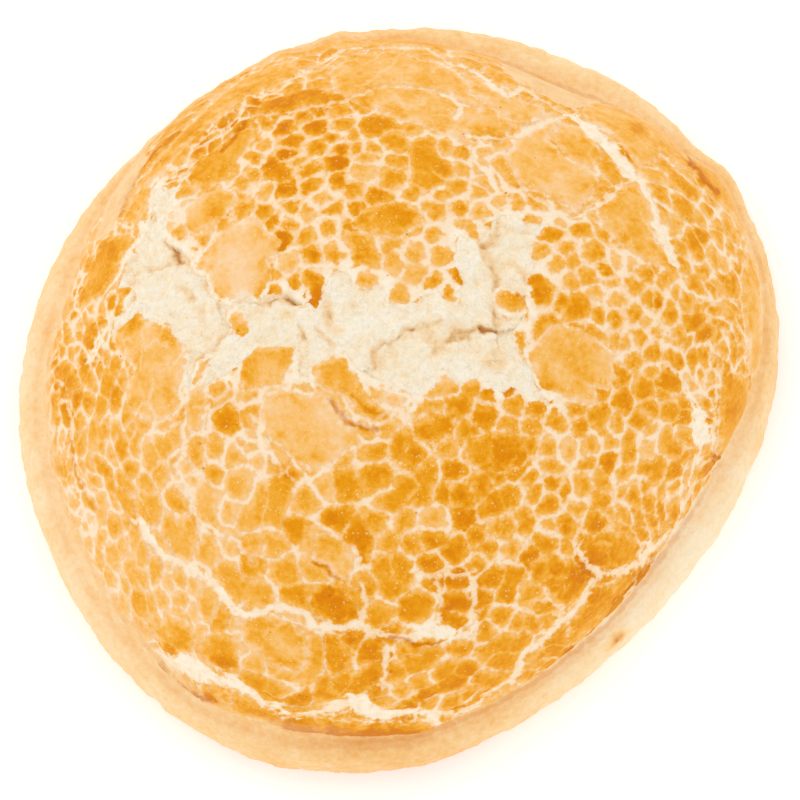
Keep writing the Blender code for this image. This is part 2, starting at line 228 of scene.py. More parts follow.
class Finish:
    """A material being made: each call adds a node and hands back its socket."""

    def __init__(self, name, roughness, shine=0.2):
        self.material = bpy.data.materials.new(name)
        self.material.use_nodes = True
        self.tree = self.material.node_tree
        self.surface = self.tree.nodes["Principled BSDF"]
        self.surface.inputs["Roughness"].default_value = roughness
        self.surface.inputs["Specular IOR Level"].default_value = shine
        self.place = self.node("ShaderNodeTexCoord", out="Object")

    def node(self, kind, settings=None, inputs=None, out=0):
        """Add a node: its settings first, then its sockets' values or links."""
        node = self.tree.nodes.new(kind)
        for name, value in (settings or {}).items():
            if name == "stops":
                while len(node.color_ramp.elements) < len(value):
                    node.color_ramp.elements.new(0.5)
                for element, (position, colour) in zip(node.color_ramp.elements, value):
                    element.position = position
                    element.color = paint(*colour)
            else:
                setattr(node, name, value)
        for name, value in (inputs or {}).items():
            if isinstance(value, Value):
                self.tree.links.new(value.socket, node.inputs[name])
            else:
                node.inputs[name].default_value = value
        return Value(self, node.outputs[out])

    def number(self, label):
        """A number that the mesh carries at each point."""
        return self.node("ShaderNodeAttribute", {"attribute_name": label}, out="Fac")

    def grain(self, wavelength, detail=2.0, distortion=0.0):
        """Noise from about -1 to 1, with swells a wavelength apart in millimetres."""
        sockets = {"Vector": self.place, "Scale": 1 / (wavelength * MM), "Detail": detail,
                   "Distortion": distortion}
        return self.node("ShaderNodeTexNoise", None, sockets) * 4.0 - 2.0

    def dots(self, spacing):
        """Distance from scattered dots, 0 at each, about that far apart in millimetres."""
        sockets = {"Vector": self.place, "Scale": 1 / (spacing * MM)}
        return self.node("ShaderNodeTexVoronoi", None, sockets, "Distance")

    def step(self, value, low, high):
        """0 below low, 1 above high, and an easy rise between."""
        settings = {"interpolation_type": "SMOOTHSTEP"}
        sockets = {"Value": value, "From Min": low, "From Max": high}
        return self.node("ShaderNodeMapRange", settings, sockets)

    def mix(self, share, first, second):
        """One colour turning into another as the share goes from 0 to 1."""
        return self.node("ShaderNodeMix", {"data_type": "RGBA"}, {0: share, 6: first, 7: second}, 2)

    def ramp(self, value, *stops):
        """The colour that the stops give for a value."""
        return self.node("ShaderNodeValToRGB", {"stops": stops}, {0: value})

    def glow(self, colour, strength):
        """A faint light of its own, though the surface is no lamp."""
        self.surface.inputs["Emission Color"].default_value = colour
        self.surface.inputs["Emission Strength"].default_value = strength

    def done(self, colour, height, distance):
        """Join the colour and a bump of that height in millimetres, and hand over the material."""
        self.tree.links.new(colour.socket, self.surface.inputs["Base Color"])
        sockets = {"Strength": 1.0, "Distance": distance * MM, "Height": height}
        bump = self.node("ShaderNodeBump", None, sockets)
        self.tree.links.new(bump.socket, self.surface.inputs["Normal"])
        return self.material


def paint(red, green, blue):
    """A colour given as it looks, from 0 to 255, as the linear colour that nodes take."""
    return tuple((channel / 255) ** 2.2 for channel in (red, green, blue)) + (1.0,)


def dough_skin():
    """Thin pale baked skin, warmer where it was lower and nearer the heat."""
    finish = Finish("pale dough skin", 0.6)
    low = finish.number("low")
    mottle = finish.grain(5.0, 3.0) * 0.13 + finish.grain(0.9, 4.0) * 0.12
    warmth = low + mottle
    colour = finish.ramp(
        warmth,
        (0.0, (255, 234, 198)), (0.25, (255, 220, 168)), (0.45, (252, 204, 138)),
        (0.65, (246, 186, 108)), (0.85, (226, 150, 70)), (1.0, (196, 116, 52)),
    )
    # Painted shade: a brown line along the seam, where the topping's edge overhangs the side
    crease = finish.step(finish.number("crease") + finish.grain(1.5) * 0.2, 0.35, 0.9)
    colour = finish.mix(crease * 0.45, colour, paint(226, 146, 58))
    flour = finish.step(finish.grain(0.7, 3.0) + finish.grain(7.0) * 0.6, 0.75, 1.3)
    colour = finish.mix(flour * 0.35, colour, paint(255, 236, 205))
    height = finish.grain(0.6, 4.0) * 0.5 + finish.grain(2.4) * 0.5
    return finish.done(colour, height, 0.10)


def make_side():
    """Rings of skin from under the topping's edge, over the swell and under to the tray."""
    turns, steps = 900, 84
    angle = np.linspace(0, math.tau, turns, endpoint=False)
    knots = np.array(SIDE_PROFILE)
    place = np.linspace(0, len(knots) - 1.001, steps)
    start = place.astype(int)
    ends = np.clip(np.stack([start - 1, start, start + 1, start + 2]), 0, len(knots) - 1)
    share, out, height = curve(*(knots[k] for k in ends), (place - start)[:, None]).T
    radius = edge_radius(angle)[None] + share[:, None] * around(SIDE_WIDTHS, angle)[None] + out[:, None]
    height = np.maximum(height, 0.0)[:, None] + 0 * radius
    points = ring_points(radius, angle, height)
    swell = rough(points * (1, 1, 1.6), 11.0, 2, 3) * 0.30
    swell = swell + rough(points * (1, 1, 0.6), 2.8, 4, 7) * 0.27
    clear = smooth_step(0.3, 4.0, points[:, 2])
    ray = np.stack([np.cos(angle), np.sin(angle), 0 * angle], axis=1)
    ray = np.tile(ray, (steps, 1))
    points = points + ray * (swell * clear)[:, None]
    points[:, 2] += np.abs(rough(points, 1.8, 2, 5)) * 0.1 * clear
    low = np.interp(points[:, 2], *BROWNING)
    low = low + np.tile(around(SIDE_WARMTH, angle), steps)
    scorch = np.linalg.norm(points - SCORCH, axis=1)
    low = low + SCORCH_DEPTH * np.exp(-((scorch / SCORCH_SIZE) ** 2))
    # Painted shade along the seam under the topping's edge, stronger at some angles
    crease = np.exp(-(((place - SEAM_KNOT) / SEAM_HALF) ** 2))[:, None] * around(SEAM_SHADE, angle)[None]
    faces = ring_faces(turns, steps)
    return skin("bare_side", points, faces, dough_skin(), low=low, crease=crease.ravel())


make_side()


# The underside.  The foot of the loaf lay on the baking tray, so its skin is flat, browner
# than the side, and dusted with the flour that kept it from sticking.
# How far the base lies in from the side, how uneven it is, and how far off the tray
FOOT_TUCK = 6.9
BASE_HOLLOW = 0.25
BASE_LIFT = 0.03


def tray_skin():
    """Flat baked base: brown, with a fine blister and flour rubbed into it."""
    finish = Finish("tray side", 0.7)
    brown = finish.grain(16.0, 3.0) * 0.22 + finish.grain(2.2, 3.0) * 0.16 + 0.5
    colour = finish.ramp(
        brown,
        (0.0, (172, 98, 40)), (0.5, (206, 134, 66)), (1.0, (232, 176, 106)),
    )
    flour = finish.step(finish.grain(1.2, 4.0) + finish.grain(14.0) * 0.8, 0.6, 1.6)
    colour = finish.mix(flour * 0.6, colour, paint(246, 226, 194))
    return finish.done(colour, finish.grain(0.8, 3.0), 0.06)


def make_base():
    """Rings from the foot to the middle of the base, a hair uneven where it left the tray."""
    turns, steps = 240, 60
    angle = np.linspace(0, math.tau, turns, endpoint=False)
    share = np.linspace(1.0, 0.0, steps, endpoint=False)
    radius = (reach(angle) - FOOT_TUCK)[None] * share[:, None]
    points = ring_points(radius, angle, 0 * radius)
    points = np.concatenate([points, np.zeros((1, 3))])
    points[:, 2] = np.clip(rough(points, 9.0, 3, 21), 0, 1) * BASE_HOLLOW + BASE_LIFT
    faces = ring_faces(turns, steps)[:, ((0, 1, 2), (0, 2, 3))].reshape(-1, 3)
    column = np.arange(turns)
    last = (steps - 1) * turns
    middle = np.stack([last + column, 0 * column + steps * turns, last + (column + 1) % turns], axis=1)
    return skin("base", points, np.concatenate([faces, middle]), tray_skin())


make_base()


# The topping.  A paste brushed over the dough dried, split into plates as the loaf rose under
# it, and browned.  Plates stand proud of the pale cracks, and wide tears run between them.
# It is laid out on a flat disc, where the distance from the middle is the angle down the dome.
LATTICE = 0.30
LOWEST = math.radians(79.6)
OVER_BURST = 1.6
# How wide a cell is, and how often it joins the next one in a plate.  Each zone here and below
# is its middle x and y, its radius, and the value there
CELL = 3.7
CELL_ZONES = (
    (-15, 30, 15, 3.5), (-24, 34, 9, 3.8), (42, 14, 10, 2.9), (32, 10, 7, 3.0), (36, -8, 11, 3.9),
    (-46, 8, 10, 3.0), (-46, -14, 9, 2.9), (12, -22, 16, 4.8), (26, -24, 14, 5.0), (-4, -40, 14, 5.2),
    (-20, -16, 16, 4.8), (2, 44, 13, 4.8), (-36, -28, 12, 4.2), (34, 34, 14, 4.6), (10, 32, 9, 3.6),
    (-6, 14, 9, 3.8),
)
JOIN = 0.48
JOIN_ZONES = (
    (-14, 28, 11, 0.14), (40, 12, 9, 0.30), (36, -8, 10, 0.50), (-22, -18, 18, 0.62),
    (0, 44, 14, 0.80), (-34, -32, 12, 0.70), (35, 36, 12, 0.75), (12, -22, 14, 0.60),
    (28, -24, 12, 0.64), (-4, -40, 12, 0.60), (-46, 4, 8, 0.30),
)
# How much flatter the cells lie where the topping slid down the side
FLAT_ZONES = (
    (-38, 38, 8, 2.4), (42, -40, 10, 2.6), (55, 0, 7, 1.9), (10, 52, 8, 2.0), (-20, -52, 8, 1.8),
    (-54, -2, 8, 0.45), (-48, -26, 7, 0.5),
)
# Half width of a crack, and how pale a plate is
CRACK_HALF = 0.26
CRACK_ZONES = (
    (-13, 27, 12, 0.34), (-16, -12, 14, 0.30), (-42, -6, 14, 0.22), (18, -26, 17, 0.20),
    (-6, -40, 11, 0.18),
    (38, 5, 14, 0.30), (0, 44, 12, 0.06), (-34, -32, 12, 0.10), (34, 36, 12, 0.08), (-34, 34, 10, 0.08),
)
TONE = 0.34
TONE_ZONES = (
    (0, 45, 13, 0.42), (30, 42, 12, 0.40), (-30, 33, 11, 0.36), (-42, 2, 12, 0.30),
    (-28, -18, 13, 0.47), (-15, -10, 10, 0.44), (14, -20, 17, 0.13), (38, 4, 13, 0.20),
    (-4, -40, 13, 0.22), (-34, -32, 11, 0.54), (-14, 28, 11, 0.00), (24, 28, 8, 0.42),
)
# Broad plates: how pale, how clear their veins, and the outline of each
BROAD_PLATES = (
    (0.86, 0.25, (
        (-26.0, 18.7), (-23.8, 19.8), (-21.3, 20.4), (-19.9, 18.7), (-17.2, 16.0), (-17.8, 13.9),
        (-19.3, 13.3), (-18.9, 10.5), (-19.5, 8.6), (-20.8, 7.2), (-23.0, 8.0), (-24.2, 7.0),
        (-26.7, 8.4), (-28.3, 10.5), (-28.4, 11.9), (-30.4, 13.1), (-29.0, 15.3))),
    (0.48, 0.20, (
        (-30.1, 24.3), (-27.0, 25.7), (-24.4, 24.6), (-23.9, 22.8), (-26.1, 20.5), (-27.7, 19.4),
        (-29.9, 18.1), (-31.6, 19.8), (-32.0, 23.2))),
    (0.30, 0.20, (
        (-7.3, 18.4), (-5.1, 20.3), (-2.6, 21.4), (0.3, 21.4), (3.0, 20.3), (3.4, 18.4),
        (1.6, 17.1), (-0.8, 16.0), (-3.5, 16.2), (-5.9, 17.2))),
    (0.62, 1.00, (
        (-42.6, 3.5), (-41.7, 7.1), (-38.3, 7.4), (-35.2, 5.3), (-32.8, 3.3), (-30.8, 1.3),
        (-30.8, -1.4), (-31.7, -3.9), (-31.8, -7.0), (-32.7, -9.1), (-35.7, -9.7), (-38.0, -8.6),
        (-39.7, -6.7), (-40.2, -4.6), (-39.0, -2.5), (-38.7, -0.9), (-40.7, 0.7))),
    (0.60, 0.25, (
        (20.4, 1.8), (22.2, 3.5), (25.6, 3.3), (29.3, 1.5), (31.2, -0.5), (31.3, -3.4),
        (30.3, -5.1), (27.8, -5.0), (28.8, -6.9), (27.8, -8.0), (24.5, -7.2), (21.1, -6.3),
        (18.9, -3.5), (18.3, -0.6))),
    (0.68, 0.35, (
        (15.6, 29.9), (17.9, 34.5), (21.0, 38.2), (24.2, 40.4), (24.4, 37.1), (22.1, 33.9),
        (23.8, 31.4), (28.0, 29.2), (29.7, 26.7), (28.1, 24.0), (25.8, 21.3), (23.6, 22.8),
        (20.7, 24.2), (17.7, 24.9), (16.7, 27.7))),
    (0.54, 0.30, (
        (24.1, 37.4), (27.1, 36.7), (29.4, 33.9), (30.2, 31.0), (28.6, 28.7), (25.3, 30.5),
        (22.9, 33.7))),
    (0.54, 0.45, (
        (29.3, 23.2), (31.5, 26.2), (34.3, 27.2), (37.4, 26.6), (38.2, 24.3), (38.7, 21.8),
        (37.1, 20.0), (38.0, 17.7), (39.8, 16.3), (39.7, 14.4), (37.7, 13.5), (35.4, 14.5),
        (33.2, 15.8), (31.3, 17.5), (29.5, 19.1), (29.0, 21.2))),
    (0.62, 0.35, (
        (-20.0, -7.6), (-17.4, -5.9), (-14.4, -6.3), (-10.1, -6.7), (-7.9, -8.5), (-7.2, -11.8),
        (-5.0, -14.0), (-7.2, -15.0), (-10.1, -17.1), (-12.7, -18.1), (-15.9, -15.5),
        (-18.5, -13.1), (-20.6, -10.7))),
    (0.42, 0.20, (
        (-23.5, -3.6), (-23.2, -0.7), (-20.9, 0.7), (-18.1, 1.1), (-15.0, -0.0), (-14.9, -2.2),
        (-16.8, -5.1), (-20.0, -6.4), (-22.5, -6.0))),
    (0.45, 0.30, (
        (-12.7, -2.6), (-10.1, -1.2), (-7.5, -2.1), (-5.5, -5.1), (-2.9, -8.0), (-2.0, -10.0),
        (-4.0, -11.4), (-6.3, -10.0), (-7.9, -7.5), (-10.4, -6.5), (-12.4, -5.2))),
    (0.60, 0.60, (
        (-10.5, 44.8), (-7.2, 48.7), (0.0, 49.3), (6.1, 47.0), (10.6, 43.5), (15.0, 39.9),
        (16.7, 35.8), (14.9, 32.4), (10.4, 32.2), (6.0, 33.4), (0.0, 35.3), (-5.9, 38.0),
        (-9.7, 40.5))),
    (0.62, 0.50, (
        (9.4, 45.6), (13.6, 43.9), (18.1, 41.1), (22.3, 40.0), (19.8, 37.3), (16.8, 36.6),
        (13.5, 39.0), (10.5, 41.5))),
    (0.52, 0.30, (
        (27.7, 40.7), (31.1, 44.9), (35.0, 44.6), (38.8, 43.0), (41.6, 41.6), (43.7, 38.4),
        (44.7, 32.9), (42.5, 31.7), (40.2, 34.5), (37.7, 31.5), (36.0, 30.3), (34.3, 32.8),
        (32.6, 34.9), (30.2, 37.3), (28.1, 38.1))),
    (0.34, 0.15, (
        (-45.6, 21.3), (-46.3, 18.2), (-48.1, 13.9), (-49.1, 11.5), (-47.2, 10.0), (-44.7, 11.1),
        (-42.8, 12.8), (-41.0, 16.9), (-39.0, 18.9), (-40.3, 20.5), (-42.8, 21.1))),
    (0.42, 0.45, (
        (-16.6, 48.7), (-21.0, 47.9), (-25.6, 45.4), (-29.1, 41.3), (-32.7, 37.7), (-36.3, 33.7),
        (-39.0, 29.7), (-42.1, 23.8), (-39.9, 21.5), (-37.9, 22.3), (-37.2, 26.9), (-34.3, 32.2),
        (-30.7, 35.5), (-26.8, 38.8), (-23.5, 41.6), (-19.3, 42.9), (-15.0, 44.8))),
    (0.36, 0.25, (
        (-31.9, 28.2), (-30.5, 30.6), (-27.6, 32.6), (-24.5, 34.6), (-22.1, 36.0), (-21.4, 33.8),
        (-22.9, 31.2), (-24.3, 28.6), (-26.4, 26.5), (-29.7, 25.6))),
    (0.24, 0.30, (
        (-20.7, 40.0), (-17.2, 41.0), (-13.5, 41.8), (-9.7, 40.8), (-7.7, 38.9), (-10.4, 37.5),
        (-14.9, 37.5), (-18.6, 36.4), (-21.2, 37.8))),
    (0.34, 0.30, (
        (-37.0, -38.5), (-34.3, -36.4), (-31.6, -37.8), (-30.1, -39.8), (-31.1, -42.1),
        (-33.4, -42.3), (-35.3, -41.3))),
    (0.26, 0.30, (
        (-29.9, -41.9), (-28.6, -39.9), (-25.5, -39.8), (-23.5, -41.9), (-23.9, -44.4),
        (-26.0, -44.8), (-28.4, -43.6))),
    (0.50, 0.45, (
        (-23.4, -38.6), (-20.1, -37.4), (-16.0, -38.3), (-13.4, -40.5), (-13.5, -43.6),
        (-15.3, -45.3), (-17.6, -44.7), (-20.2, -42.8), (-22.9, -41.3))),
    (0.20, 0.15, (
        (-12.8, -34.3), (-10.9, -33.2), (-8.0, -34.9), (-6.1, -36.3), (-6.1, -38.5),
        (-8.7, -39.0), (-11.6, -38.1), (-12.8, -36.5))),
    (0.27, 0.80, (
        (25.8, -27.4), (28.0, -25.5), (31.4, -24.5), (34.6, -24.6), (36.1, -26.0), (35.2, -28.0),
        (32.7, -29.7), (29.7, -29.7), (27.2, -29.3))),
    (0.27, 0.80, (
        (19.1, -30.0), (22.0, -28.2), (24.8, -29.0), (27.9, -30.8), (27.1, -33.5), (24.7, -35.6),
        (22.5, -35.1), (21.8, -33.3), (19.1, -32.5))),
    (0.19, 0.60, (
        (1.5, -11.2), (4.7, -9.7), (7.6, -9.9), (8.0, -11.9), (5.8, -13.7), (3.5, -14.3),
        (1.8, -13.2))),
    (0.20, 0.80, (
        (9.4, -13.8), (12.3, -12.3), (15.3, -11.9), (17.7, -13.2), (18.5, -15.1), (17.5, -17.0),
        (14.5, -17.9), (11.9, -17.7), (9.9, -16.4))),
    (0.46, 0.10, (
        (44.9, 35.9), (47.1, 35.9), (50.2, 34.6), (52.3, 31.7), (53.0, 26.8), (53.7, 23.7),
        (51.9, 21.4), (50.5, 25.3), (48.1, 26.9), (45.8, 28.7), (44.4, 30.6))),
    (0.58, 0.25, (
        (53.3, 22.1), (54.9, 19.4), (55.4, 13.4), (55.4, 8.7), (55.9, 2.2), (53.0, 1.0),
        (52.0, 8.1), (51.4, 14.2))),
    (0.36, 0.15, (
        (48.2, -0.4), (50.9, 0.7), (53.0, 0.4), (53.2, -3.8), (52.6, -7.6), (51.6, -10.4),
        (49.7, -11.0), (47.9, -10.9), (47.9, -7.4), (48.1, -3.9))),
    (0.74, 0.30, (
        (-5.2, -5.5), (-1.7, -6.6), (0.9, -7.3), (1.5, -8.0), (0.6, -9.4), (-2.9, -8.6), (-4.0, -7.4))),
    (0.56, 0.30, (
        (6.0, -3.9), (7.3, -3.4), (8.6, -5.4), (8.1, -7.3), (4.1, -8.0), (2.9, -7.4), (4.7, -5.9))),
    (0.26, 0.30, (
        (-27.7, -0.4), (-27.1, -1.1), (-28.4, -3.9), (-29.6, -5.1), (-30.6, -4.9), (-29.3, -1.8))),
    (0.42, 0.30, (
        (-28.1, -4.9), (-25.1, -4.1), (-24.8, -5.6), (-25.4, -6.7), (-26.8, -7.2), (-27.8, -6.3))),
    (0.34, 0.20, (
        (-14.5, 10.0), (-13.7, 11.2), (-12.5, 11.5), (-10.7, 10.5), (-11.0, 7.2), (-10.7, 6.1),
        (-11.9, 5.2), (-13.3, 5.4), (-13.9, 6.2), (-13.2, 7.2), (-13.3, 8.4))),
    (0.52, 0.15, (
        (-12.6, -27.0), (-10.7, -26.7), (-9.1, -27.2), (-6.8, -28.7), (-5.8, -29.8), (-6.3, -31.8),
        (-7.5, -33.5), (-8.7, -32.6), (-10.6, -31.0), (-12.6, -30.2))),
    (0.44, 0.30, (
        (-25.4, 3.9), (-24.8, 5.7), (-23.7, 6.2), (-22.5, 5.5), (-21.8, 3.7), (-21.4, 2.0),
        (-22.4, 0.7), (-23.6, 1.5), (-25.1, 2.5))),
    (0.32, 0.30, (
        (13.4, 7.2), (14.2, 8.7), (15.7, 8.5), (17.4, 8.8), (18.4, 7.2), (18.7, 6.1), (17.4, 4.7),
        (15.6, 4.6), (14.2, 5.6))),
    (0.22, 0.05, (
        (-25.0, -47.5), (-22.6, -48.1), (-20.1, -49.6), (-17.1, -51.4), (-10.4, -51.6),
        (-0.7, -52.0), (4.5, -51.4), (5.5, -52.3), (4.9, -53.7), (0.0, -53.5), (-5.2, -54.0),
        (-15.1, -53.4), (-21.9, -51.3), (-25.4, -50.1))),
    (0.28, 0.20, (
        (27.8, -32.7), (32.0, -31.1), (35.1, -28.4), (38.7, -25.2), (39.1, -25.8), (35.5, -30.0),
        (32.4, -33.5), (29.9, -37.2), (24.9, -40.7), (25.0, -38.5), (26.3, -35.6))),
)
# Bare dough that no topping covered
BARE = (
    ((10.9, 52.8), (15.3, 51.5), (16.5, 46.5), (19.8, 44.1), (23.7, 41.6), (26.4, 40.4),
     (29.5, 43.1), (34.5, 44.9), (38.8, 43.2), (42.2, 41.3), (46.5, 38.7), (40.4, 45.9),
     (31.1, 51.8), (21.8, 54.7), (15.6, 55.7), (10.9, 55.0)),
    ((-40.9, 37.1), (-38.3, 34.7), (-39.9, 30.7), (-41.5, 26.5), (-43.2, 22.3), (-45.0, 20.9),
     (-46.8, 21.6), (-45.3, 26.5), (-44.1, 31.4), (-42.5, 34.3)),
)
# Places where a tear opened wide enough to bare the white below
OPENINGS = (
    ((43.0, -4.5), (44.3, -5.7), (46.5, -7.8), (46.8, -9.3), (45.5, -10.7), (44.2, -11.1),
     (43.6, -9.4), (43.7, -6.9)),
    ((-42.7, 6.4), (-43.3, 5.3), (-45.1, 1.8), (-46.0, 0.5), (-47.0, 0.6), (-45.7, 2.2),
     (-45.0, 4.1), (-44.2, 5.9)),
    ((-38.3, -23.6), (-36.8, -24.1), (-36.5, -25.5), (-33.8, -29.0), (-35.3, -28.4), (-37.9, -25.3)),
    ((-26.6, -33.2), (-25.4, -33.8), (-24.2, -35.3), (-21.6, -37.6), (-22.8, -38.1), (-24.4, -37.3),
     (-25.7, -35.5)),
    ((-37.9, -40.0), (-35.0, -41.8), (-33.6, -42.4), (-31.8, -42.0), (-29.2, -44.0), (-26.4, -45.4),
     (-24.5, -45.4), (-22.8, -46.8), (-18.4, -49.6), (-17.3, -50.9), (-21.4, -48.4), (-26.8, -46.4),
     (-29.9, -46.0), (-34.7, -43.6)),
    ((-8.4, -48.3), (-4.7, -48.4), (-3.5, -49.7), (-1.7, -50.4), (0.3, -51.0), (0.0, -51.6),
     (-4.4, -51.6), (-6.5, -50.7)),
    ((1.5, -39.2), (3.7, -38.4), (5.6, -38.9), (7.3, -38.5), (8.5, -39.8), (7.1, -41.0), (4.7, -40.8),
     (2.7, -40.4)),
    ((0.8, -51.0), (3.7, -50.1), (5.5, -50.4), (6.4, -52.0), (5.4, -51.3), (3.0, -51.0)),
)
# Brown lines, partly folds where a flap of topping doubled over and partly painted shadow under a
# flap's edge: how strong, half width, and the line
FOLDS_AND_SHADOWS = (
    (0.30, 0.35, ((-49.3, -10.0), (-48.8, -14.4), (-47.2, -17.7), (-45.4, -20.5))),
    (0.80, 0.40, ((-35.9, -42.8), (-34.5, -44.9), (-32.0, -46.8), (-29.9, -47.8), (-27.6, -48.2))),
    (0.70, 0.60, ((-17.3, -52.5), (-13.5, -53.1), (-8.2, -53.5), (0.0, -53.3), (4.6, -53.4))),
    (0.60, 0.35, ((39.1, -25.8), (35.5, -30.3), (32.4, -33.7), (29.9, -37.6), (24.9, -41.3))),
    (0.90, 0.40, ((44.6, 35.6), (44.5, 33.0), (46.2, 29.9), (48.3, 28.6))),
    (0.45, 0.45, ((-33.4, 37.6), (-36.5, 35.0), (-39.2, 32.4), (-41.1, 28.1), (-42.3, 24.3))),
    (0.60, 0.50, ((47.5, -11.8), (50.2, -10.7), (51.3, -10.0))),
    (0.60, 0.40, ((-26.5, 31.7), (-24.6, 33.5), (-23.0, 36.2))),
    (0.75, 0.30, ((-8.7, -32.8), (-10.6, -31.3), (-12.6, -30.5))),
    (0.80, 0.28, ((-1.7, -40.6), (2.2, -41.5), (5.9, -41.5))),
    (0.80, 0.35, ((-10.1, -7.9), (-8.9, -9.4), (-7.5, -11.1), (-5.5, -12.0), (-3.1, -12.3))),
    (0.35, 0.35, ((-6.8, -7.4), (-5.6, -8.6), (-4.0, -9.8), (-2.2, -10.6))),
)
# Soft patches paler or browner than what lies round them: x, y, radius and how much paler
PATCHES = (
    (-29.2, 33.1, 1.9, -0.25), (-21.4, 39.9, 1.2, -0.45), (-31.1, 22.9, 2.2, 0.32),
    (-33.8, 21.6, 1.6, 0.40), (-27.7, 18.1, 1.2, 0.30), (36.2, 37.9, 1.4, -0.20),
    (44.3, 32.9, 0.8, -0.60), (45.9, 29.6, 0.9, -0.50), (47.8, 27.8, 0.8, -0.40),
    (33.8, 32.0, 0.8, -0.40), (18.0, 37.9, 2.2, 0.12), (-31.5, -5.0, 1.9, 0.22),
    (0.0, -12.6, 1.7, 0.18), (-34.0, -41.7, 1.4, -0.35), (-25.7, -44.3, 1.6, -0.30),
    (-51.1, 5.5, 2.3, -0.12), (-9.4, -35.2, 2.2, -0.12), (26.4, -31.4, 2.0, -0.10),
    (31.5, -27.2, 2.2, -0.06), (-13.3, 6.6, 1.4, -0.20), (-25.5, 8.5, 1.2, -0.25),
    (36.9, 12.0, 1.6, -0.20), (37.6, 8.3, 1.6, -0.25), (-16.9, 34.6, 1.4, -0.20),
    (-16.2, 29.7, 1.7, -0.20), (-8.8, 27.7, 1.6, -0.25), (-14.1, 36.5, 0.9, -0.30),
    (-8.0, 24.4, 1.2, -0.15), (14.5, -15.1, 3.4, -0.08), (51.3, -9.2, 1.4, -0.20),
    (47.1, -4.9, 1.6, -0.15), (-39.9, 10.2, 1.2, -0.20), (-43.0, 7.6, 2.2, -0.12),
    (-52.4, 9.1, 1.2, -0.25), (-52.9, 3.8, 1.7, -0.20), (-52.4, 1.1, 1.8, -0.18),
    (-53.1, -3.4, 1.2, -0.20), (-46.9, 17.0, 1.4, -0.20), (-48.3, 12.3, 1.4, -0.25),
    (10.4, -44.6, 1.6, -0.15), (-27.3, 8.9, 1.1, -0.55), (-25.1, 7.5, 1.3, -0.35),
    (-20.1, 8.7, 1.3, -0.40), (-28.7, 16.1, 1.1, -0.25), (-17.8, 15.7, 1.8, -0.35),
    (-11.9, 6.6, 1.5, -0.25), (-16.0, 24.0, 2.2, -0.15), (-22.7, 16.4, 1.8, 0.12),
    (-11.2, -35.1, 1.5, -0.15), (12.2, -5.8, 1.5, -0.15), (-38.3, 6.1, 1.7, -0.35),
    (-32.5, 2.0, 1.0, -0.25), (39.9, -3.2, 1.8, 0.28), (-8.4, -30.3, 1.6, 0.12),
    (-5.0, -28.9, 1.5, 0.20),
)
# Single plates that stand out: middle x, y and how pale
PLATES = (
    (-17.1, 34.6, 0.15), (-8.4, 34.3, 0.15), (-14.1, 36.5, 0.3), (-16.4, 29.7, 0.05),
    (-13.7, 26.7, 0.08), (-9.1, 28.0, 0.05), (-6.0, 30.1, 0.08), (-11.8, 31.1, 0.2),
    (-9.1, 24.6, 0.15), (-16.1, 23.9, 0.08), (-21.9, 27.3, 0.25), (-20.5, 32.3, 0.35),
    (-19.3, 24.1, 0.35), (-1.7, 25.1, 0.2), (-5.3, 26.4, 0.4), (-11.3, 22.4, 0.3),
    (-9.8, 20.7, 0.2), (-16.5, 18.8, 0.3), (-13.6, 20.6, 0.35), (-13.1, 16.1, 0.25),
    (-9.7, 13.7, 0.3), (-0.7, 12.2, 0.45), (-4.8, 9.6, 0.35), (-0.3, 7.0, 0.35),
    (-12.5, 10.4, 0.3), (-12.2, 7.5, 0.12), (-16.5, 12.6, 0.5), (21.7, 17.4, 0.15),
    (20.1, 14.7, 0.3), (23.5, 14.7, 0.3), (26.4, 18.5, 0.2), (30.2, 18.0, 0.2),
    (28.5, 15.1, 0.25), (31.8, 13.5, 0.4), (28.0, 11.0, 0.25), (31.0, 10.0, 0.25),
    (34.5, 9.9, 0.25), (37.6, 8.0, 0.1), (28.8, 5.0, 0.25), (34.4, 6.1, 0.2),
    (31.1, 2.1, 0.2), (35.0, 2.8, 0.25), (37.6, 3.5, 0.2), (9.3, 30.1, 0.12),
    (5.2, 20.4, 0.2), (5.1, 15.9, 0.3), (2.2, 13.3, 0.4), (4.7, 9.5, 0.3),
    (7.3, 7.7, 0.3), (36.7, 38.2, 0.1), (41.6, 14.7, 0.3), (43.1, 9.1, 0.3),
    (41.1, 4.3, 0.3), (4.8, -12.5, 0.1), (1.9, -15.7, 0.12), (12.5, -10.3, 0.12),
    (16.7, -8.2, 0.2), (18.9, -11.3, 0.2), (11.2, -14.8, 0.25), (15.3, -14.9, 0.05),
    (7.6, -18.1, 0.12), (11.3, -20.0, 0.15), (18.9, -18.3, 0.2), (24.1, -13.8, 0.5),
    (27.5, -15.4, 0.2), (24.2, -24.9, 0.15), (28.9, -23.7, 0.12), (30.1, -27.6, 0.1),
    (34.0, -26.4, 0.15), (4.4, -27.0, 0.1), (8.2, -28.6, 0.2), (12.8, -28.4, 0.2),
    (3.7, -30.7, 0.15), (8.2, -35.8, 0.1), (2.4, -36.5, 0.2), (16.4, -28.2, 0.35),
    (21.3, -27.1, 0.15), (23.0, -30.4, 0.03), (14.7, -37.4, 0.2), (8.8, -41.7, 0.15),
    (40.9, -15.3, 0.15), (33.0, -6.8, 0.15), (36.3, -12.1, 0.45), (29.4, -18.0, 0.25),
    (37.2, -20.1, 0.2), (-24.7, -9.8, 0.15), (-26.9, -14.0, 0.35), (-22.0, -13.5, 0.4),
    (-13.0, -16.7, 0.3), (-8.6, -16.1, 0.3), (-14.5, -25.8, 0.2), (-11.6, -28.0, 0.4),
    (-7.9, -19.6, 0.2), (-3.6, -19.0, 0.2), (0.0, -14.0, 0.15), (-2.9, -25.3, 0.25),
    (-3.6, -42.4, 0.15), (-34.3, -41.0, 0.12), (-28.6, -35.6, 0.5), (-32.3, -31.9, 0.5),
)
